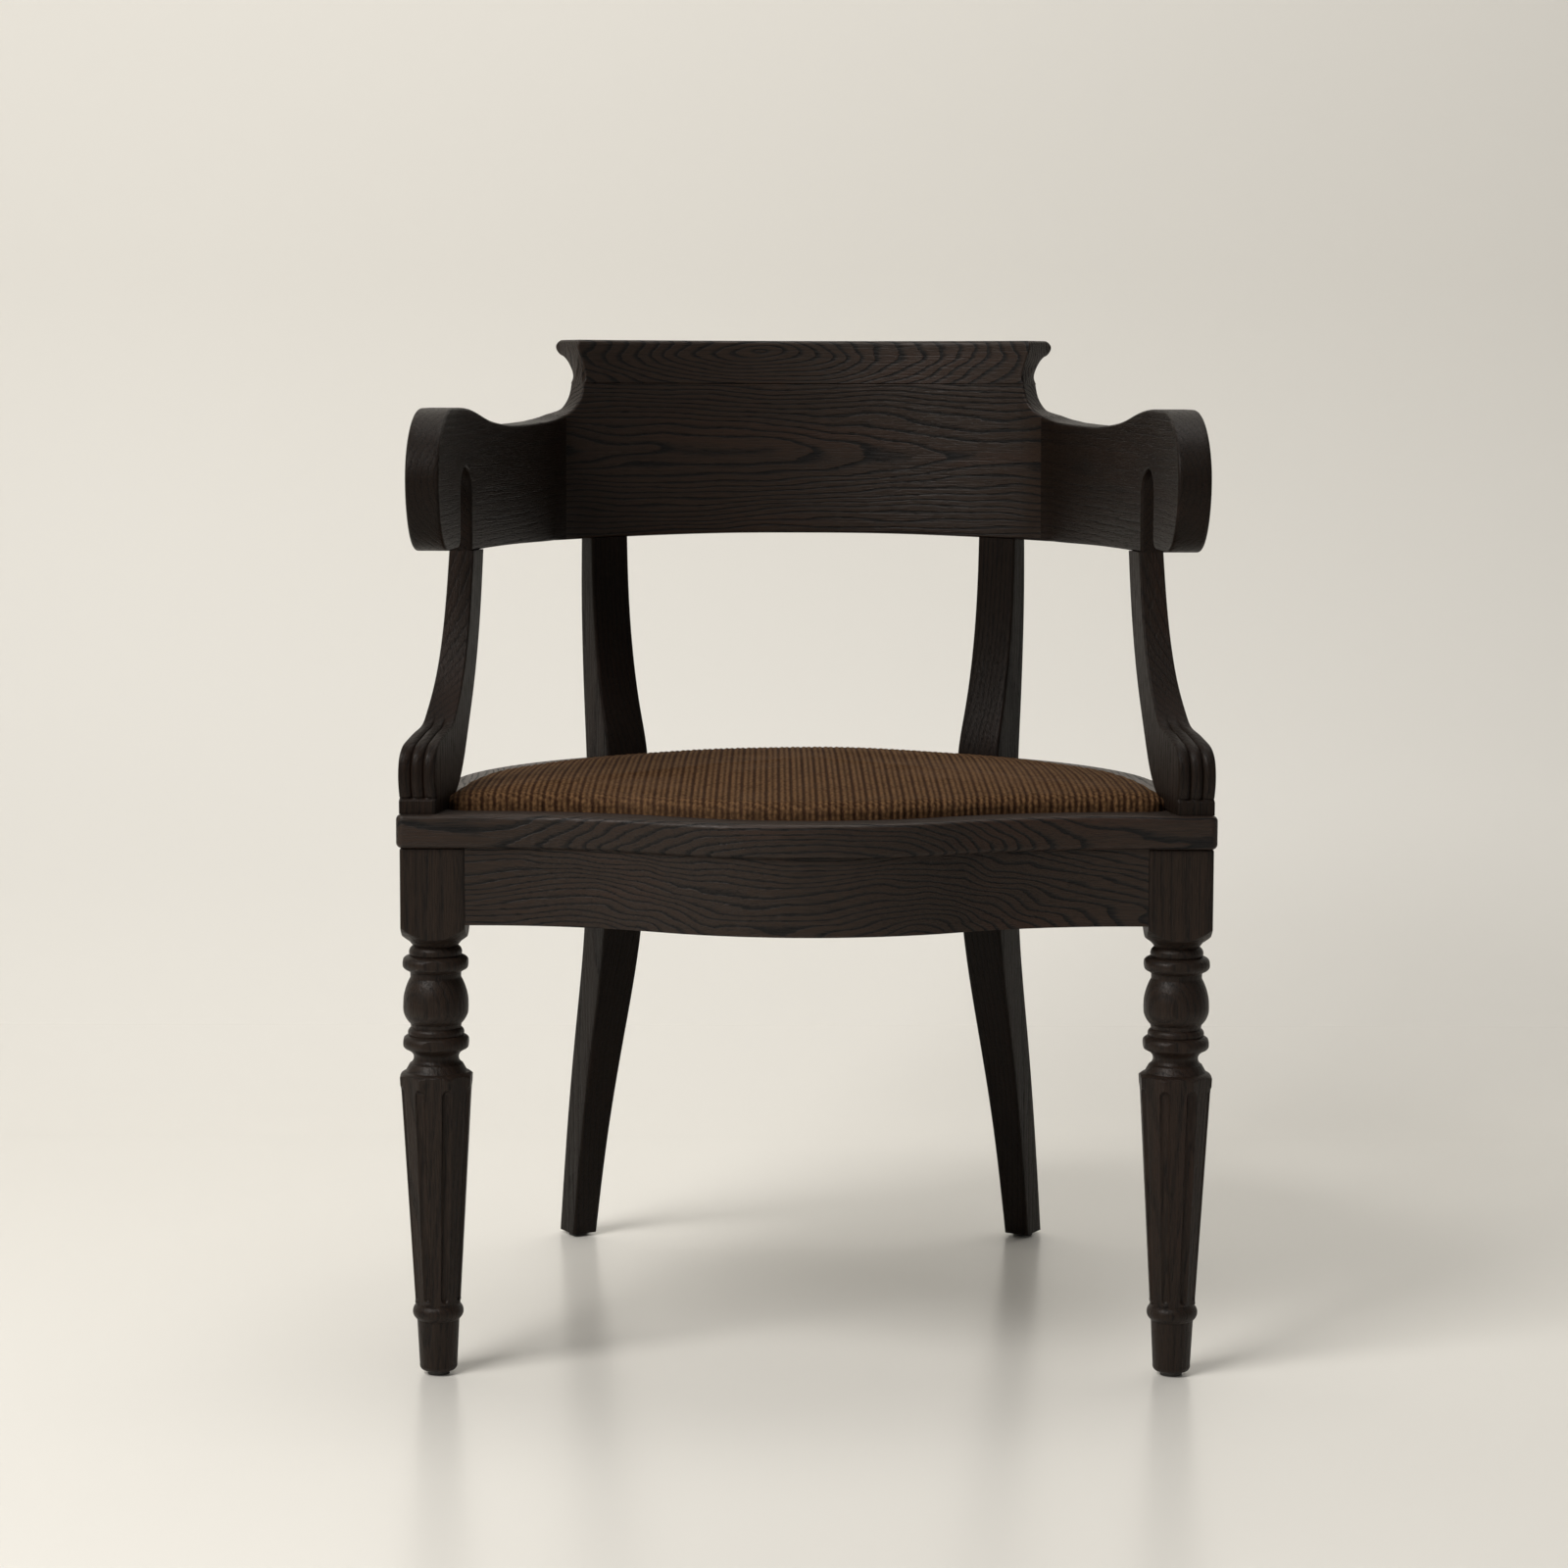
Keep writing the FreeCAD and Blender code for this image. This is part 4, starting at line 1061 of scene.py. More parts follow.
    def arm(self) -> tuple[Array, Array]:
        """The right arm from its joint to its round end.

        Returns:
            The grid of points, and the wood's own coordinates.
        """
        lower, upper = self.arm_lines()
        lead = np.linspace(self.joint_length(), float(self.length_at(self.arm_from)), 34)[:-1]
        low = np.concatenate([np.stack([lead, np.full_like(lead, self.bottom)], -1),
                              np.stack([self.length_at(lower[:, 0]), lower[:, 1]], -1)])
        high = np.concatenate([np.stack([lead, self.notch(lead)], -1),
                               np.stack([self.length_at(upper[:, 0]), upper[:, 1]], -1)])
        side, wide = Slab(low, high, self.thickness, self.ease, self.ease, up=18, sense=-1.0).loops()
        points = self.solid(side, wide)
        return points, np.stack([side[..., 0], points[..., 2], wide], -1)

    def build(self) -> None:
        """Makes and dresses the back rail and both arms."""
        # The tones below 1 paint shade: the back rail a little darker, the arms much darker.
        oak_piece("back_rail", *self.back(),
                  DarkOak("oak_back_rail", pith=(-0.02, 0.70), tilt=0.05, seed=0.3, tone=0.9))
        points, wood = self.arm()
        plain = DarkOak("", pith=(0.70, -0.035), tilt=0.02, figure=0.3, wander=0.006, tone=0.45)
        oak_pair("arm_rail", (mirrored(points), points), wood, plain, (1.1, 2.3), caps=(True, False))


# The crest

@dataclass
class Crest:
    """Tablet on the back rail: rolled over at the top, with eared ends."""

    rail: Horseshoe
    top: float = 796.0
    depth: float = 43.0
    nose: float = 6.8
    lip: float = 3.6
    groove: float = 0.9
    ease: float = 1.6
    grain_radius: float = 342.0  # the grain's length is measured on this radius

    def section(self) -> Array:
        """Section of the tablet: straight runs and arcs from its groove upwards, over the roll and down.

        Returns:
            A closed loop of (depth behind the rail's inner face, height).
        """
        c, t, top = self.rail.crease, self.rail.thickness, self.top
        roll, under = self.depth - self.nose, top - 2 * self.nose
        bulge = self.lip * BULGE
        return trace((self.groove, c), [
            (0, c + self.groove), (0, top - self.lip), (bulge, top - bulge, self.lip, top), (roll, top),
            (self.depth, top - self.nose, roll, under), (t + 4.4, under - 5, t, under - 16), (t, c),
            (self.groove, c)], 0.9)[:-1]

    def reach(self, radius: Array, height: Array) -> Array:
        """Half angle of the tablet: where a point meets the flat of the notch, set out by the ear's line.

        The flat lies across the notch's own angle a, so the point's angle is a plus the arc sine of its
        distance along the flat's normal over its radius.

        Args:
            radius: distances from the middle of the back arc.
            height: heights.

        Returns:
            The angles.
        """
        c = self.rail.crease
        line = flowing([(c - 0.1, 1.6), (c + 5, 0), (c + 14, 1.5), (c + 25, 5.2), (self.top - 5, 7.6),
                        (self.top + 1, 5.0)], 240)
        s = np.interp(height, line[:, 0], line[:, 1])
        turn = rad(self.rail.notch_turn)
        deep = math.sqrt(self.rail.radius ** 2 - self.rail.notch_x ** 2)
        shift = self.rail.notch_x * math.cos(turn) - deep * math.sin(turn)
        return turn + np.arcsin((s + shift) / radius)

    def build(self) -> None:
        """Sweeps the section round the back's centre and rounds its ends.

        Near each end the section shrinks by the easing times (1 - cos t) while the end angle goes out
        by the easing times (1 - sin t) less.
        """
        loop = self.section()
        normal = loop_normals(loop[None])[0]
        turn = np.linspace(0, math.pi / 2, 5)
        main = np.linspace(-1, 1, 180)[1:-1]
        keep = 0.2 + 0.8 * smooth_step(loop[None, :, 1], self.rail.crease, self.rail.crease + 6)
        inset, short = (np.concatenate([near, np.zeros(len(main)), near[::-1]])
                        for near in (self.ease * (1 - np.sin(turn)), self.ease * (1 - np.cos(turn))))
        share = np.concatenate([np.full(len(turn), -1.0), main, np.full(len(turn), 1.0)])
        spots = loop[None] + normal[None] * (inset[:, None] * keep)[..., None]
        radius = self.rail.radius + spots[..., 0]
        end = self.reach(radius, spots[..., 1]) - short[:, None] * keep / radius
        inner = np.abs(share[:, None]) < 1
        angle = share[:, None] * np.where(inner, end - self.ease * keep / radius, end)
        plan = (radius * np.sin(angle), self.rail.centre_y + radius * np.cos(angle))
        points = np.stack([*plan, spots[..., 1]], -1)
        wood = np.stack([angle * self.grain_radius, spots[..., 0], spots[..., 1]], -1)
        oak_piece("crest_tablet", points, wood,
                  DarkOak("oak_crest", pith=(-0.010, 0.787), tilt=0.26, ring=0.0042))


# Arm supports and legs

@dataclass
class ArmSupport:
    """S-shaped support with a heel, a rolled knee with three reeds, and a small plinth."""

    inner: tuple[float, float] = (280.0, 0.18)  # inner face: its place at the front, and its slope
    outer: tuple[float, float] = (308.5, 0.259)  # the same for the outer face
    foot: float = 436.0
    top: float = 629.0
    reeds: int = 3
    reed_depth: float = 3.1
    reed_top: float = 507.0
    plinth: float = 447.6
    nominal: float = 28.0  # thickness at which the section is drawn, before it is fitted

    def lines(self) -> tuple[Array, Array]:
        """Back and front line in the side view, as flowing lines through their marks.

        Returns:
            The (depth, height) stations of the back and of the front line, from the top down.
        """
        z = self.foot
        stem = flowing([(117, self.top), (109.3, z + 158.4), (98.3, z + 124), (80.5, z + 90.7), (66.5, z + 74),
                        (54.6, z + 64), (38, z + 59.6), (22.5, z + 55.4), (11, z + 51), (4.6, z + 44.5),
                        (1.4, z + 34), (1.2, z + 24), (3.6, z + 12)], 900)
        front = np.concatenate([stem, trace((3.6, z + 12), [(3.6, z)], 0.5)[1:]])
        back = flowing([(148.4, self.top), (141, z + 156.6), (131, z + 122), (117, z + 87.7), (98.6, z + 54),
                        (76.8, z + 21.2), (64, z + 10.6), (44, z)], 900)
        front_marks = [(117, self.top), (80.5, z + 90.7), (54.6, z + 64), (22.5, z + 55.4), (11, z + 51),
                       (4.6, z + 44.5), (1.2, z + 24), (3.6, z + 12), (3.6, z)]
        back_marks = [(148.4, self.top), (117, z + 87.7), (98.6, z + 54), (84, z + 31), (76.8, z + 21.2),
                      (70, z + 15.2), (60, z + 8), (52, z + 4), (44, z)]
        counts = (60, 26, 30, 14, 14, 26, 18, 16)
        return along_line(back, back_marks, counts), along_line(front, front_marks, counts)

    def reeding(self, share: Array, height: Array) -> Array:
        """Depth of the cut at a share of the width and a height.

        Each reed is half round: the depth is 1 less the root of 1 less the square of the place in the
        reed, and it dies out at the top of the knee. A fine groove parts the knee from its plinth, and
        the plinth stands out by half a millimetre.

        Args:
            share: places across the front, from 0 to 1.
            height: heights.

        Returns:
            Depths.
        """
        place = 2.0 * np.mod(share * self.reeds, 1.0) - 1.0
        round_cut = 1.0 - np.sqrt(np.maximum(1.0 - 0.985 * place ** 2, 0.0))
        edge = (share < 1 / self.reeds) & (place < 0) | (share > 1 - 1 / self.reeds) & (place > 0)
        cut = np.where(edge, round_cut * 0.35, round_cut)
        fade = 1.0 - smooth_step(height, self.reed_top - 11, self.reed_top)
        fade = np.where(height < self.plinth, 0.0, fade)
        groove = np.exp(-((height - self.plinth) / 0.55) ** 2) * 1.3
        return self.reed_depth * cut * fade + groove - 0.5 * (height < self.plinth - 1.2)

    def build(self) -> None:
        """Cuts the reeds into the front of the slab, and fits it between its two slanting faces."""
        back, front = self.lines()
        slab = Slab(back, front, self.nominal, 2.0, 1.5, across=54, up=12)
        side, wide = slab.loops()
        count = 2 * (slab.corner + 1) + slab.across - 1
        first = count + slab.up - 1
        face = slice(first, first + count)
        share = wide / self.nominal
        depth = self.reeding(share[:, face], side[:, face, 1])
        side[:, face] += inward(front, -1.0)[:, None, :] * depth[..., None]
        side[..., 1] = np.clip(side[..., 1], self.foot, self.top)
        y = side[..., 0]
        left_x = self.inner[0] - self.inner[1] * y
        right_x = self.outer[0] - self.outer[1] * y
        points = np.stack([left_x + (right_x - left_x) * share, y, side[..., 1]], -1)
        wood = np.stack([side[..., 1] + y * 0.5, wide, y], -1)
        # A tone of 0.55 paints shade over the supports.
        finish = DarkOak("", pith=(-0.05, -0.02), tilt=0.0, figure=0.4, wander=0.006, tone=0.55)
        oak_pair("arm_support", (mirrored(points), points), wood, finish, (3.1, 4.7), angle=50.0)


@dataclass
class FrontLeg:
    """Square head block, turned neck and vase, an eight-sided fluted taper with a collar, and a turned foot."""

    middle: float = 282.4
    block: float = 49.0
    high: float = 410.5
    datum: float = 346.0
    taper_low: float = 56.5
    shoulder: float = 226.0
    flats: tuple[float, float] = (53.2, 34.0)  # across the octagon, at the shoulder and at the ankle
    flute: tuple[float, float] = (5.3, 4.0)  # radius of the flute, and its depth at a corner
    low: float = 3.0
    sides: int = 240
    squareness: float = 46.0  # power of the rounded square

    def head(self) -> Array:
        """Turned profile of the neck, beads, vase and rings, in runs and arcs below the datum.

        Returns:
            (Radius, height) points from the block down.
        """
        drops = [(29.6, 1.4, 20, 9), (17.1, 12.6), (18.2, 13.4), (20.2, 18, 19.5, 20.4),
                 (25.7, 25.6, 21.6, 31.6), (19.4, 33.2), (19.3, 37), (24.1, 49.6, 25.1, 57.4),
                 (24.0, 66, 19.6, 72.6), (19.0, 75.6), (21.4, 78.6, 21.0, 81.6), (25.9, 86.4, 21.6, 92.8),
                 (19.6, 94.2), (17.2, 98.8, 20.3, 103.6), (23.5, 109.4)]
        line = trace((36.75, -7.0), drops, 0.8)
        return np.stack([line[:, 0], self.datum - line[:, 1]], -1)

    def foot(self) -> Array:
        """Turned profile of the ankle ring and foot, in runs and arcs.

        Returns:
            (Radius, height) points, downwards.
        """
        r = self.flats[1] / 2
        steps = [(r + 0.3, 2), (r + 2.5, 7.2, r + 0.3, 12.3), (r - 0.8, 13.4), (r - 2.6, 48.5),
                 (r - 3.4, 52, r - 6.5, self.taper_low - self.low)]
        line = trace((r, 0.0), steps, 1.0)
        return np.stack([line[:, 0], self.taper_low - line[:, 1]], -1)

    def shaft(self, theta: Array, z: Array) -> Array:
        """Radius of the taper at an angle and a height.

        The least of three: the octagon's (half the flats over the cosine from the nearest flat), the
        collar's chamfer, and the flute along each corner, a circle whose near side lies at
        c cos t - root of (R squared - (c sin t) squared).

        Args:
            theta: angles about the leg's axis.
            z: heights.

        Returns:
            Radii.
        """
        share = (z - self.taper_low) / (self.shoulder - self.taper_low)
        flats = self.flats[1] + (self.flats[0] - self.flats[1]) * share
        eighth = math.pi / 4
        from_flat = np.mod(theta + eighth / 2, eighth) - eighth / 2
        octagon = flats / 2 / np.cos(from_flat)
        collar = np.interp(z, [232.4, 235.9, 236.6], [30.0, 25.4, 23.5])
        top, end = self.shoulder - self.flute[0], self.taper_low + self.flute[0]
        slim = 1.0 - 0.28 * np.clip((top - z) / (top - end), 0, 1)
        r = self.flute[0] * slim
        c = flats / 2 / math.cos(eighth / 2) + r - self.flute[1] * slim
        past = np.maximum(z - top, 0) + np.maximum(end - z, 0)
        r_here = np.sqrt(np.maximum(r ** 2 - past ** 2, 0))
        t = np.mod(theta, eighth) - eighth / 2
        inside = r_here ** 2 - (c * np.sin(t)) ** 2
        cut = np.where(inside > 0, c * np.cos(t) - np.sqrt(np.maximum(inside, 0)), 99.0)
        return np.minimum(np.minimum(octagon, collar), cut)

    def surface(self) -> tuple[Array, Array]:
        """The whole leg as radii over angles and heights.

        The block is a rounded square, by the sum of high powers of the sine and cosine; where it meets
        the turned neck the lesser radius holds.

        Returns:
            Points about the leg's own axis, stations by angles by 3, and the grain coordinates.
        """
        theta = np.linspace(0, 2 * math.pi, self.sides, endpoint=False)
        power = self.squareness
        spread = np.abs(np.cos(theta)) ** power + np.abs(np.sin(theta)) ** power
        square = self.block / 2 / spread ** (1 / power)
        block_z = np.concatenate([self.high - np.array([0, 0.25, 0.8, 1.6]),
                                  np.linspace(self.high - 4, self.datum + 8, 8)])
        block_r = square[None] - np.concatenate([[1.4, 0.8, 0.35, 0.0], np.zeros(8)])[:, None]
        head = self.head()
        head_r = np.minimum(square[None], head[:, :1])
        top, end = self.shoulder - self.flute[0], self.taper_low + self.flute[0]
        shaft_z = np.concatenate([np.linspace(236.4, self.shoulder + 1, 14),
                                  np.linspace(self.shoulder, top - 1, 9), np.linspace(top - 4, end + 3, 44),
                                  np.linspace(end, self.taper_low + 0.2, 10)])
        shaft_r = self.shaft(theta[None], shaft_z[:, None])
        foot = self.foot()
        foot_r = np.repeat(foot[:, :1], self.sides, 1)
        radius = np.concatenate([block_r, head_r, shaft_r, foot_r])
        height = np.minimum.accumulate(np.concatenate([block_z, head[:, 1], shaft_z, foot[:, 1]]))
        x, y = radius * np.cos(theta), radius * np.sin(theta)
        z = np.repeat(height[:, None], self.sides, 1)
        return np.stack([x, y, z], -1), np.stack([z, x, y], -1)

    def build(self) -> None:
        """Makes and dresses both front legs."""
        shape, wood = self.surface()
        left, right = (shape + np.array([side * self.middle, self.block / 2, 0.0]) for side in (-1.0, 1.0))
        # A tone of 0.8 paints shade over the front legs.
        finish = DarkOak("", pith=(0.035, 0.045), tilt=0.02, ring=0.0038, figure=0.4, wander=0.006, tone=0.8)
        oak_pair("front_leg", (left, right), wood, finish, (5.3, 6.9), angle=32.0)


@dataclass
class RearLeg:
    """Sabre leg and back post sawn from one board, its plane turned outwards."""

    rail: Horseshoe
    spot: tuple[float, float] = (161.0, 432.0)
    turn: float = 30.0
    ease: float = 2.4

    def build(self) -> None:
        """Carries an eased rectangle up a flowing line.

        Each mark gives a height, how far out along the leg's plane the middle lies, the depth along that
        plane and the width across it.
        """
        line = flowing([(3, 77.2, 28.4, 23.1), (101.8, 57, 31.3, 27.3), (190, 33.6, 35.5, 32.3),
                        (277, 10.6, 39.5, 36.5), (340, 2, 42, 38.2), (400, -1, 43.2, 38.8),
                        (443, 0.8, 43.2, 38.8), (477, 8, 37, 37.5), (512, 14.6, 31, 36.4),
                        (579, 21.4, 24.5, 35.3), (self.rail.bottom, 22.5, 21.7, 34.9)], 160)
        loop = rounded_box_loop(line[:, 2] / 2, line[:, 3] / 2, self.ease, 6, 5)
        out = line[:, 1:2] + loop[..., 0]
        across = loop[..., 1]
        t = rad(self.turn)
        x = self.spot[0] + math.sin(t) * out + math.cos(t) * across
        y = self.spot[1] + math.cos(t) * out - math.sin(t) * across
        z = np.repeat(line[:, :1], loop.shape[1], 1)
        z = z + (self.rail.lower_edge(x) - self.rail.bottom) * smooth_step(z, 560.0, self.rail.bottom)
        points = np.stack([x, y, z], -1)
        wood = np.stack([z, out, across], -1)
        # A tone of 0.4 paints shade over the rear legs.
        finish = DarkOak("", pith=(0.02, -0.06), tilt=0.012, figure=0.45, wander=0.006, tone=0.4)
        oak_pair("rear_leg", (mirrored(points), points), wood, finish, (8.2, 9.6))


# The seat

@dataclass
class SeatPlan:
    """Plan outline of the rim: a bowed front with hollow shoulders, straight sides and a round back."""

    half: float = 310.0
    over: float = 3.5
    back_radius: float = 291.0
    back_y: float = 216.0
    bow: float = 62.0
    bow_half: float = 246.0
    bow_radius: float = 235.0

    def outline(self, d: float, rounding: float, count: int) -> Array:
        """Closed outline set out by d, as evenly spaced points.

        The right half runs along two arcs of the bow, the straight front, the rounded corner, the
        straight side, which touches the back's circle, and that circle; the left half mirrors it.

        Args:
            d: how far outside the rim's edge the line lies (negative is inside).
            rounding: radius of the front corners.
            count: number of points.

        Returns:
            Points, one row each, from the middle of the front towards +X.
        """
        corner = np.array([self.half, -self.over])
        centre = np.array([0.0, self.back_y])
        away = corner - centre
        turn = math.atan2(away[1], away[0]) + math.acos(self.back_radius / np.linalg.norm(away))
        side = np.array([math.cos(turn), math.sin(turn)])
        hollow = (self.bow_half ** 2 + self.bow ** 2) / (2 * self.bow) - self.bow_radius
        bow_mid = np.array([0.0, self.bow_radius - self.bow])
        hollow_mid = np.array([self.bow_half, -hollow])
        lean = math.atan2(hollow_mid[0], bow_mid[1] - hollow_mid[1])
        r_bow, r_hollow, front = self.bow_radius + self.over + d, hollow - self.over - d, -self.over - d

        def on_bow(a: float) -> list[float]:
            """Place on the bow at an angle from its middle."""
            return list(bow_mid + r_bow * np.array([math.sin(a), -math.cos(a)]))

        dip = hollow_mid + r_hollow * np.array([-math.sin(lean / 2), math.cos(lean / 2)])
        foot = centre + side * (self.back_radius + d)
        tip = np.array([foot[0] - (front - foot[1]) * side[1] / side[0], front])
        way = (foot - tip) / np.linalg.norm(foot - tip)
        half_turn = math.acos(-way[0]) / 2
        back = rounding / math.tan(half_turn)
        a, b = tip + np.array([-back, 0.0]), tip + way * back
        into = (np.array([-1.0, 0.0]) + way) / np.linalg.norm(np.array([-1.0, 0.0]) + way)
        mid = tip + into * (rounding / math.sin(half_turn) - rounding)
        between = (math.pi / 2 + turn) / 2
        far = centre + (self.back_radius + d) * np.array([math.cos(between), math.sin(between)])
        right = trace(on_bow(0.0), [
            (*on_bow(lean / 2), *on_bow(lean)), (*dip, self.bow_half, front), tuple(a), (*mid, *b),
            tuple(foot), (*far, 0.0, self.back_y + self.back_radius + d)], 1.0)
        closed = np.concatenate([right, (right * np.array([-1.0, 1.0]))[::-1][1:-1], right[:1]])
        run = np.concatenate([[0], np.cumsum(np.linalg.norm(np.diff(closed, axis=0), axis=1))])
        where = np.linspace(0, run[-1], count, endpoint=False)
        return np.stack([np.interp(where, run, closed[:, 0]), np.interp(where, run, closed[:, 1])], -1)


@dataclass
class Seat:
    """Upholstered drop-in seat: a crowned pad in ribbed cloth, with a lining stretched below."""

    plan: SeatPlan
    inset: float = 31.0
    lining_inset: float = 48.0
    corner: float = 20.0
    low: float = 423.5
    top: float = 458.5
    fall_front: float = 9.5
    fall_back: float = 19.0
    edge: float = 9.0
    middle: float = 230.0  # depth of the middle of the crown
    depth: float = 246.0  # over this depth the fall grows from the front's to the back's
    pitch: float = 9.4
    rib: float = 0.45
    ribs_from: tuple[float, float] = (435.0, 440.0)  # the ribs grow between these heights

    def rings(self, loop: Array) -> tuple[Array, Array]:
        """Points of all rings, from the board up the side and over the crown.

        The height on the crown is the top less a fall times the square of the share of the outline; the
        fall grows smoothly from the front to the back. At the rim the height drops by the edge size
        times (1 - cos t) while the share goes from 0.95 to 1 with sin t.

        Args:
            loop: the outline.

        Returns:
            Rings by loop points by 3, and the share of each ring.
        """
        turn = np.radians(np.linspace(90, 0, 18))
        share = np.concatenate([np.ones(8), 0.95 + 0.05 * np.sin(turn), np.linspace(0.95, 0.0, 116)[1:]])
        drop = np.concatenate([np.full(8, self.edge), self.edge * (1 - np.cos(turn)), np.zeros(115)])
        share, drop = share[:, None], drop[:, None]
        x = loop[None, :, 0] * share
        y = self.middle + (loop[None, :, 1] - self.middle) * share
        behind = smooth_step((y - self.middle) / self.depth, -0.5, 0.5)
        fall = self.fall_front + (self.fall_back - self.fall_front) * behind
        z = self.top - fall * share ** 2 - drop
        climb = np.linspace(0, 1, 8)[:, None]
        z[:8] = self.low + (z[8] - self.low) * climb * 0.98
        return np.stack([x, y, z], -1), share

    def pad(self) -> bpy.types.Object:
        """The covered pad, with its ribs.

        Each rib is a broad and a narrow ridge, two sines of the place across the seat; slow waves, sums
        of sines in both directions, make the cloth lie a little unevenly.

        Returns:
            The mesh object.
        """
        loop = self.plan.outline(-self.inset, self.corner, 1300)
        points, share = self.rings(loop)
        x, y, z = points[..., 0], points[..., 1], points[..., 2]
        turn = 2 * math.pi * x / self.pitch
        ridge = 0.3 * np.sin(turn) + 0.7 * np.sin(2 * turn + 0.8) - 1.0
        shown = smooth_step(z, *self.ribs_from)
        slow = 0.5 * np.sin(x * 0.021 + 1.3) * np.sin(y * 0.017 + 0.4) + 0.25 * np.sin(x * 0.047 + y * 0.031)
        out = loop_normals(loop[None])[0][None] * smooth_step(share, 0.93, 0.99)[..., None]
        lift = (ridge * self.rib + (slow - 0.6) * (1 - share ** 4)) * shown
        pull = (ridge * 0.35 * shown)[..., None] * out
        shape = np.concatenate([points[..., :2] + pull, (z + lift)[..., None]], -1)
        return grid_object("seat_pad", shape, shape, caps=(True, False), angle=80.0)

    def lining(self) -> tuple[bpy.types.Object, Triple]:
        """Lining under the board: a thin closed sheet that sags a little, deepest in the middle.

        The sag is 1 less the square of the share of the outline, times 2.2 mm and a slow ripple.

        Returns:
            The mesh object, and its flat width, length and area in metres.
        """
        loop = self.plan.outline(-self.lining_inset, self.corner, 320)
        up = np.linspace(0, 1, 30)
        share = np.concatenate([up, up[::-1]])
        top = np.concatenate([np.zeros(30), np.ones(30)])
        x = loop[None, :, 0] * share[:, None]
        y = self.middle + (loop[None, :, 1] - self.middle) * share[:, None]
        ripple = 0.5 * np.sin(x * 0.05) * np.sin(y * 0.043)
        sag = (1 - share[:, None] ** 2) * (2.2 + ripple)
        z = self.low - 0.9 + 0.7 * top[:, None] - sag
        points = np.stack([x, y, z + np.zeros_like(x)], -1)
        size = np.ptp(loop, axis=0) / 1000.0
        turned = np.roll(loop, -1, 0)
        area = abs(np.sum(loop[:, 0] * turned[:, 1] - turned[:, 0] * loop[:, 1])) / 2e6
        sheet = grid_object("lining_sheet", points, points, caps=(False, False))
        return sheet, (float(size[0]), float(size[1]), float(area))

    def build(self) -> None:
        """Makes and dresses the pad and the lining."""
        pad = self.pad()
        dress(pad, RibbedChenille("brown_chenille", self.pitch / 1000.0).make())
        place_piece(pad, "chenille", "seat_cover", "seat_foam")
        lining, (width, length, area) = self.lining()
        dress(lining, WovenLining("black_lining").make())
        place_piece(lining, "lining", "dust_cover")


@dataclass
class SeatFrame:
    """Rim, aprons, blocks and fixings: pieces whose turned and sawn shapes come straight from the CAD."""

    nodes: dict

    def build(self) -> None:
        """Gives every carried-over node its finish."""
        beech = {grain: PlainTimber("beech_" + grain.value, (0.50, 0.33, 0.2), (0.38, 0.225, 0.125),
                                    grain).make() for grain in (Grain.X, Grain.Z)}
        oak = {
            "rim_front": DarkOak("oak_rim_front", Grain.X, (-0.30, 0.4), 0.03, seed=10.4),
            "rim_side_left": DarkOak("oak_rim_left", Grain.Y, (-0.36, 0.40), 0.05, seed=11.2),
            "rim_side_right": DarkOak("oak_rim_right", Grain.Y, (0.33, 0.40), 0.05, seed=12.7),
            "rim_back": DarkOak("oak_rim_back", Grain.X, (0.2, 0.39), 0.04, seed=13.1),
            "front_apron": DarkOak("oak_front_apron", Grain.X, (-0.268, 0.345), 0.13, seed=14.6, wander=0.034),
            "side_apron_left": DarkOak("oak_apron_left", Grain.Y, (-0.30, 0.375), 0.06, seed=15.9),
            "side_apron_right": DarkOak("oak_apron_right", Grain.Y, (0.30, 0.385), 0.06, seed=16.3),
            "back_apron": DarkOak("oak_back_apron", Grain.X, (0.24, 0.38), 0.04, seed=17.7),
        }
        steel = Metal("zinc_steel").make()
        finishes = {name: finish.make() for name, finish in oak.items()}
        finishes.update({
            "seat_board": PlainTimber("birch_ply", (0.56, 0.42, 0.27), (0.46, 0.32, 0.18), Grain.X).make(),
            "seat_foam": Foam("seat_foam_cells").make(),
            "glides": Moulded("glide_plastic").make(),
            "block_screws": steel,
            "seat_screws": steel,
        })
        for name, node in self.nodes.items():
            if name in finishes:
                dress(node, finishes[name])
            elif "corner_block" in name:
                dress(node, beech[Grain.X])
            elif name.endswith("dowels"):
                dress(node, beech[Grain.Z])
            LOG.info("node %s is dressed", name)


# The room

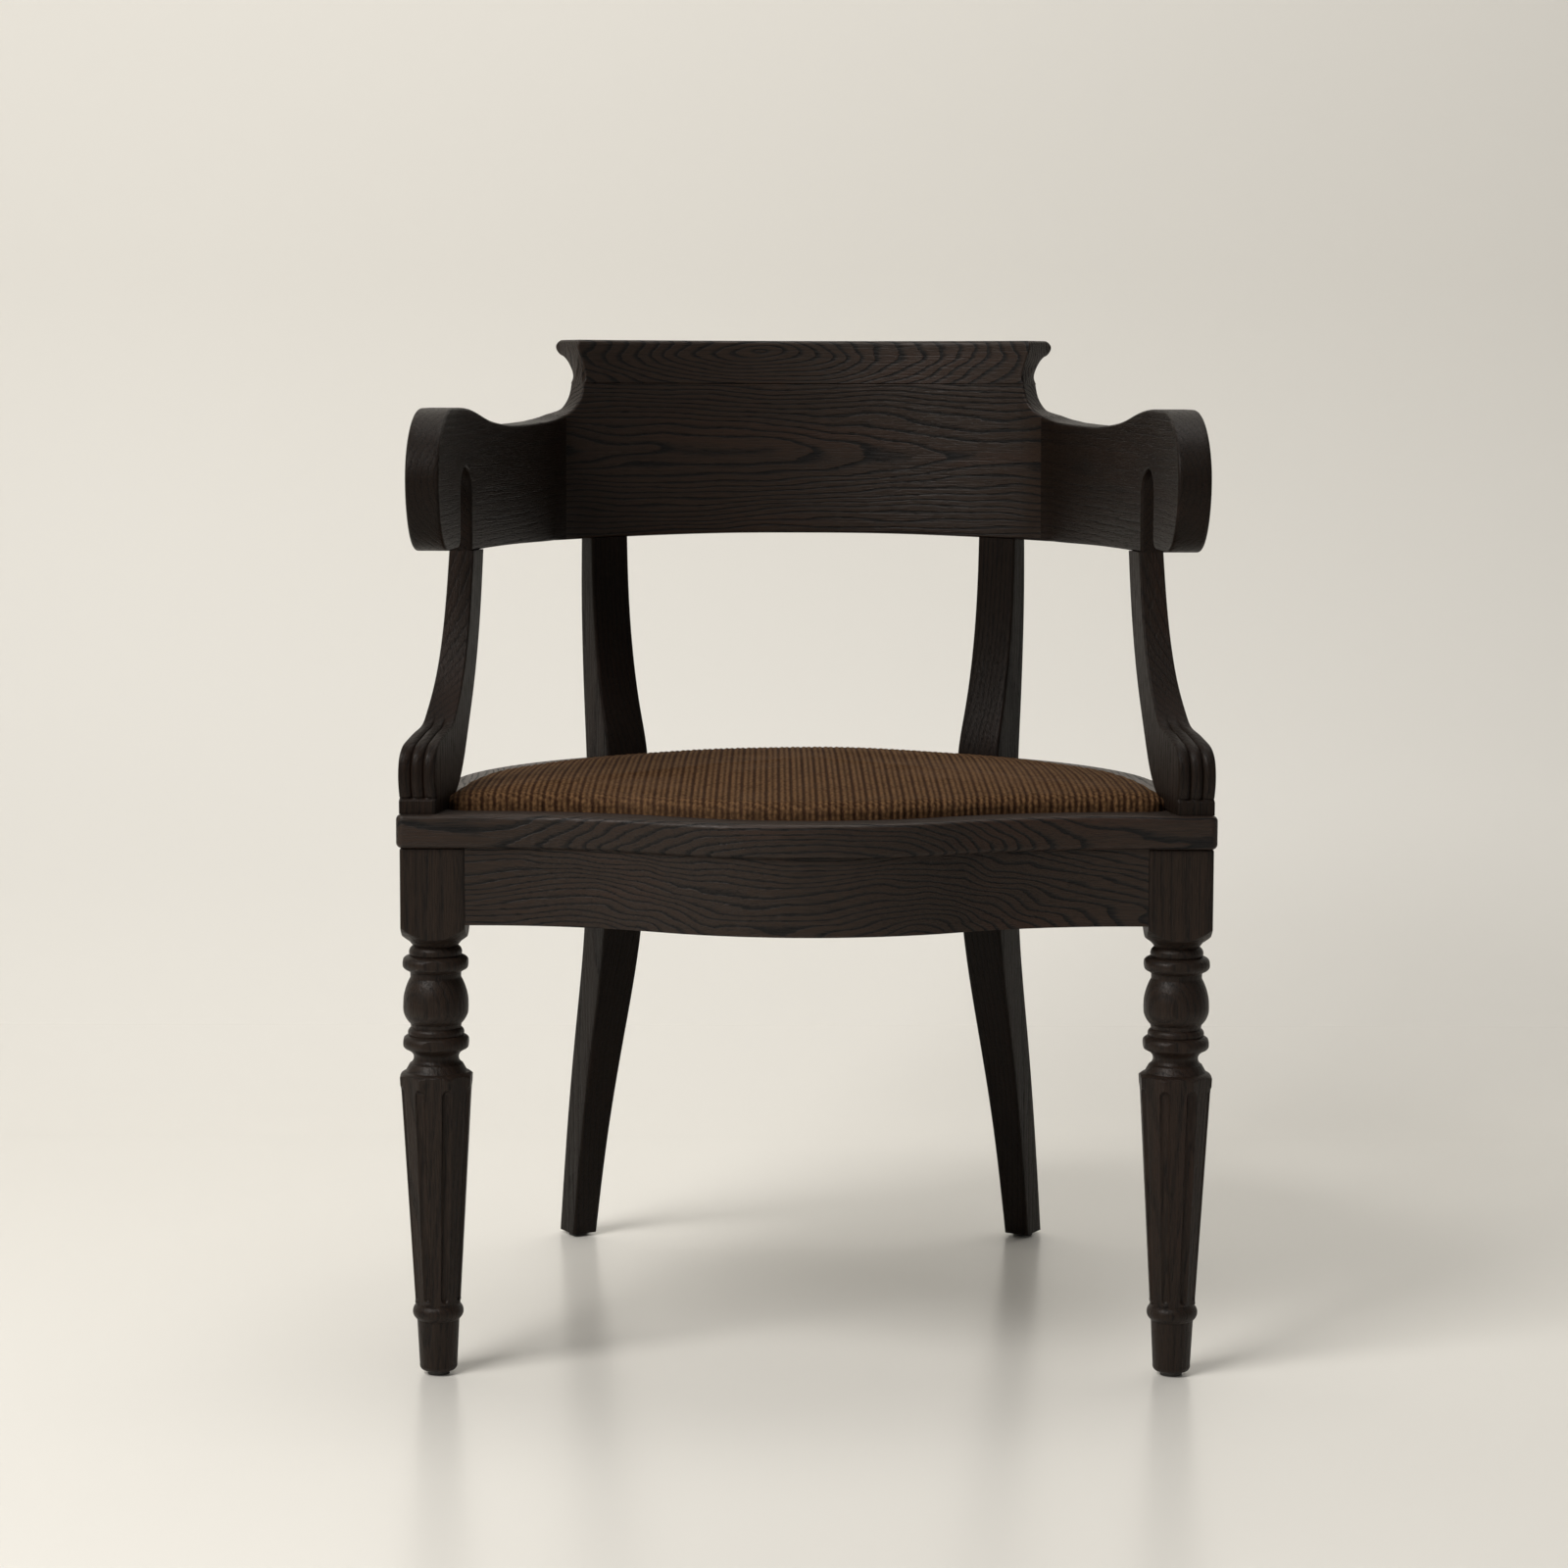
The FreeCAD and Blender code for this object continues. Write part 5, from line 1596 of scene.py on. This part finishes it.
@dataclass
class Room:
    """Pale wall and satin floor in one sweep, soft lamps from the upper left, and the camera."""

    wall_y: float = 1.6
    wall_top: float = 4.5
    cove: float = 0.9
    reach: float = 9.0  # how far the floor goes to the sides and the front

    def sweep(self) -> bpy.types.Object:
        """Floor and wall as one curved sheet: straight floor, a quarter of a circle, straight wall.

        Returns:
            The mesh object.
        """
        turn = np.linspace(0, math.pi / 2, 40)[1:]
        bend = self.wall_y - self.cove
        line = np.concatenate([np.stack([np.linspace(-self.reach, bend, 30), np.zeros(30)], -1),
                               np.stack([bend + self.cove * np.sin(turn), self.cove * (1 - np.cos(turn))], -1),
                               np.stack([np.full(10, self.wall_y),
                                         np.linspace(self.cove, self.wall_top, 11)[1:]], -1)])
        across = np.linspace(-self.reach, self.reach, 24)
        m, n = len(line), len(across)
        wide = np.broadcast_to(across, (m, n))[..., None]
        points = np.concatenate([wide, np.repeat(line[:, None], n, 1)], -1)
        index = np.arange(m * n).reshape(m, n)
        quads = np.stack([index[:-1, :-1], index[:-1, 1:], index[1:, 1:], index[1:, :-1]], -1).reshape(-1, 4)
        mesh = bpy.data.meshes.new("backdrop")
        mesh.from_pydata(points.reshape(-1, 3).tolist(), [], quads.tolist())
        mesh.polygons.foreach_set("use_smooth", np.ones(len(mesh.polygons), bool))
        sheet = bpy.data.objects.new("backdrop", mesh)
        bpy.context.scene.collection.objects.link(sheet)
        return sheet

    def paint(self) -> bpy.types.Material:
        """Warm off-white; the floor has a dull gloss, the wall none, and its back lets a view through.

        Returns:
            The material.
        """
        shop = Shader("warm_white")
        place = shop.place()
        _, _, height = shop.axes(place)
        tone = shop.noise(place, 0.8)
        floor = 1.0 - height.rise(0.0, 0.5)
        colour = shop.mix(tone.rise(0.3, 0.7) * 0.25, (0.88, 0.86, 0.81), (0.84, 0.815, 0.76))
        shop.set(Base_Color=colour, Roughness=0.62 - floor * 0.36, Specular_IOR_Level=0.45)
        shop.open_from_behind()
        return shop.material

    def lamp(self, name: str, spot: Triple, aim: Triple, size: float, watts: float, colour: Colour) -> None:
        """One soft square lamp, turned from the vertical and about it so that it faces its aim.

        Args:
            name: its name.
            spot: where it stands.
            aim: what it points at.
            size: its side.
            watts: its strength.
            colour: its tint.
        """
        data = bpy.data.lights.new(name, "AREA")
        data.shape = "SQUARE"
        data.size = size
        data.energy = watts
        data.color = colour
        lamp = bpy.data.objects.new(name, data)
        lamp.location = spot
        way = np.subtract(aim, spot)
        lamp.rotation_euler = (math.acos(-way[2] / np.linalg.norm(way)), 0.0, math.atan2(-way[0], way[1]))
        bpy.context.scene.collection.objects.link(lamp)

    def camera(self) -> None:
        """Camera in front of the chair, a little above the arms, looking slightly down."""
        data = bpy.data.cameras.new("camera")
        data.sensor_width = 36.0
        data.lens = 85.5
        eye = bpy.data.objects.new("camera", data)
        heading = Matrix.Rotation(rad(-0.175), 4, "Z")
        tilt = Matrix.Rotation(rad(90 - 6.13), 4, "X")
        roll = Matrix.Rotation(rad(0.14), 4, "Z")
        eye.matrix_world = Matrix.Translation((-0.0259, -3.01565, 0.7586)) @ heading @ tilt @ roll
        bpy.context.scene.collection.objects.link(eye)
        bpy.context.scene.camera = eye

    def surroundings(self) -> None:
        """Even pale light from all round; where the camera looks past the sheet it sees a pale tone."""
        world = bpy.data.worlds.new("soft_light")
        bpy.context.scene.world = world
        world.use_nodes = True
        tree = world.node_tree
        light, seen = tree.nodes["Background"], tree.nodes.new("ShaderNodeBackground")
        light.inputs[0].default_value = (1.0, 0.985, 0.96, 1.0)
        light.inputs[1].default_value = 0.15
        seen.inputs[0].default_value = (0.72, 0.695, 0.64, 1.0)
        path = tree.nodes.new("ShaderNodeLightPath")
        choice = tree.nodes.new("ShaderNodeMixShader")
        ends = (path.outputs["Is Camera Ray"], light.outputs[0], seen.outputs[0])
        for end, socket in zip(ends, choice.inputs):
            tree.links.new(end, socket)
        tree.links.new(choice.outputs[0], tree.nodes["World Output"].inputs[0])

    def build(self) -> None:
        """Makes the backdrop, the lamps, the world's light and the camera."""
        sheet = self.sweep()
        dress(sheet, self.paint())
        self.lamp("key", (-1.9, -2.0, 2.9), (0.0, 0.0, 0.4), 1.7, 106.0, (1.0, 0.975, 0.94))
        self.lamp("fill", (2.4, -2.2, 1.4), (0.0, 0.0, 0.4), 2.2, 1.5, (0.95, 0.97, 1.0))
        self.lamp("top", (0.3, 0.5, 3.3), (0.0, 0.1, 0.4), 1.6, 25.0, (1.0, 0.98, 0.95))
        self.surroundings()
        bpy.context.scene.view_settings.view_transform = "Standard"
        self.camera()


def main() -> None:
    """Builds the room, then the chair from the rail down."""
    logging.basicConfig(level=logging.INFO, format="%(name)s: %(message)s")
    Room().build()
    rail = Horseshoe()
    rail.build()
    Crest(rail).build()
    ArmSupport().build()
    FrontLeg().build()
    RearLeg(rail).build()
    Seat(SeatPlan()).build()
    SeatFrame(frame["nodes"]).build()
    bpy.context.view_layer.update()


if __name__ == "__main__":
    main()
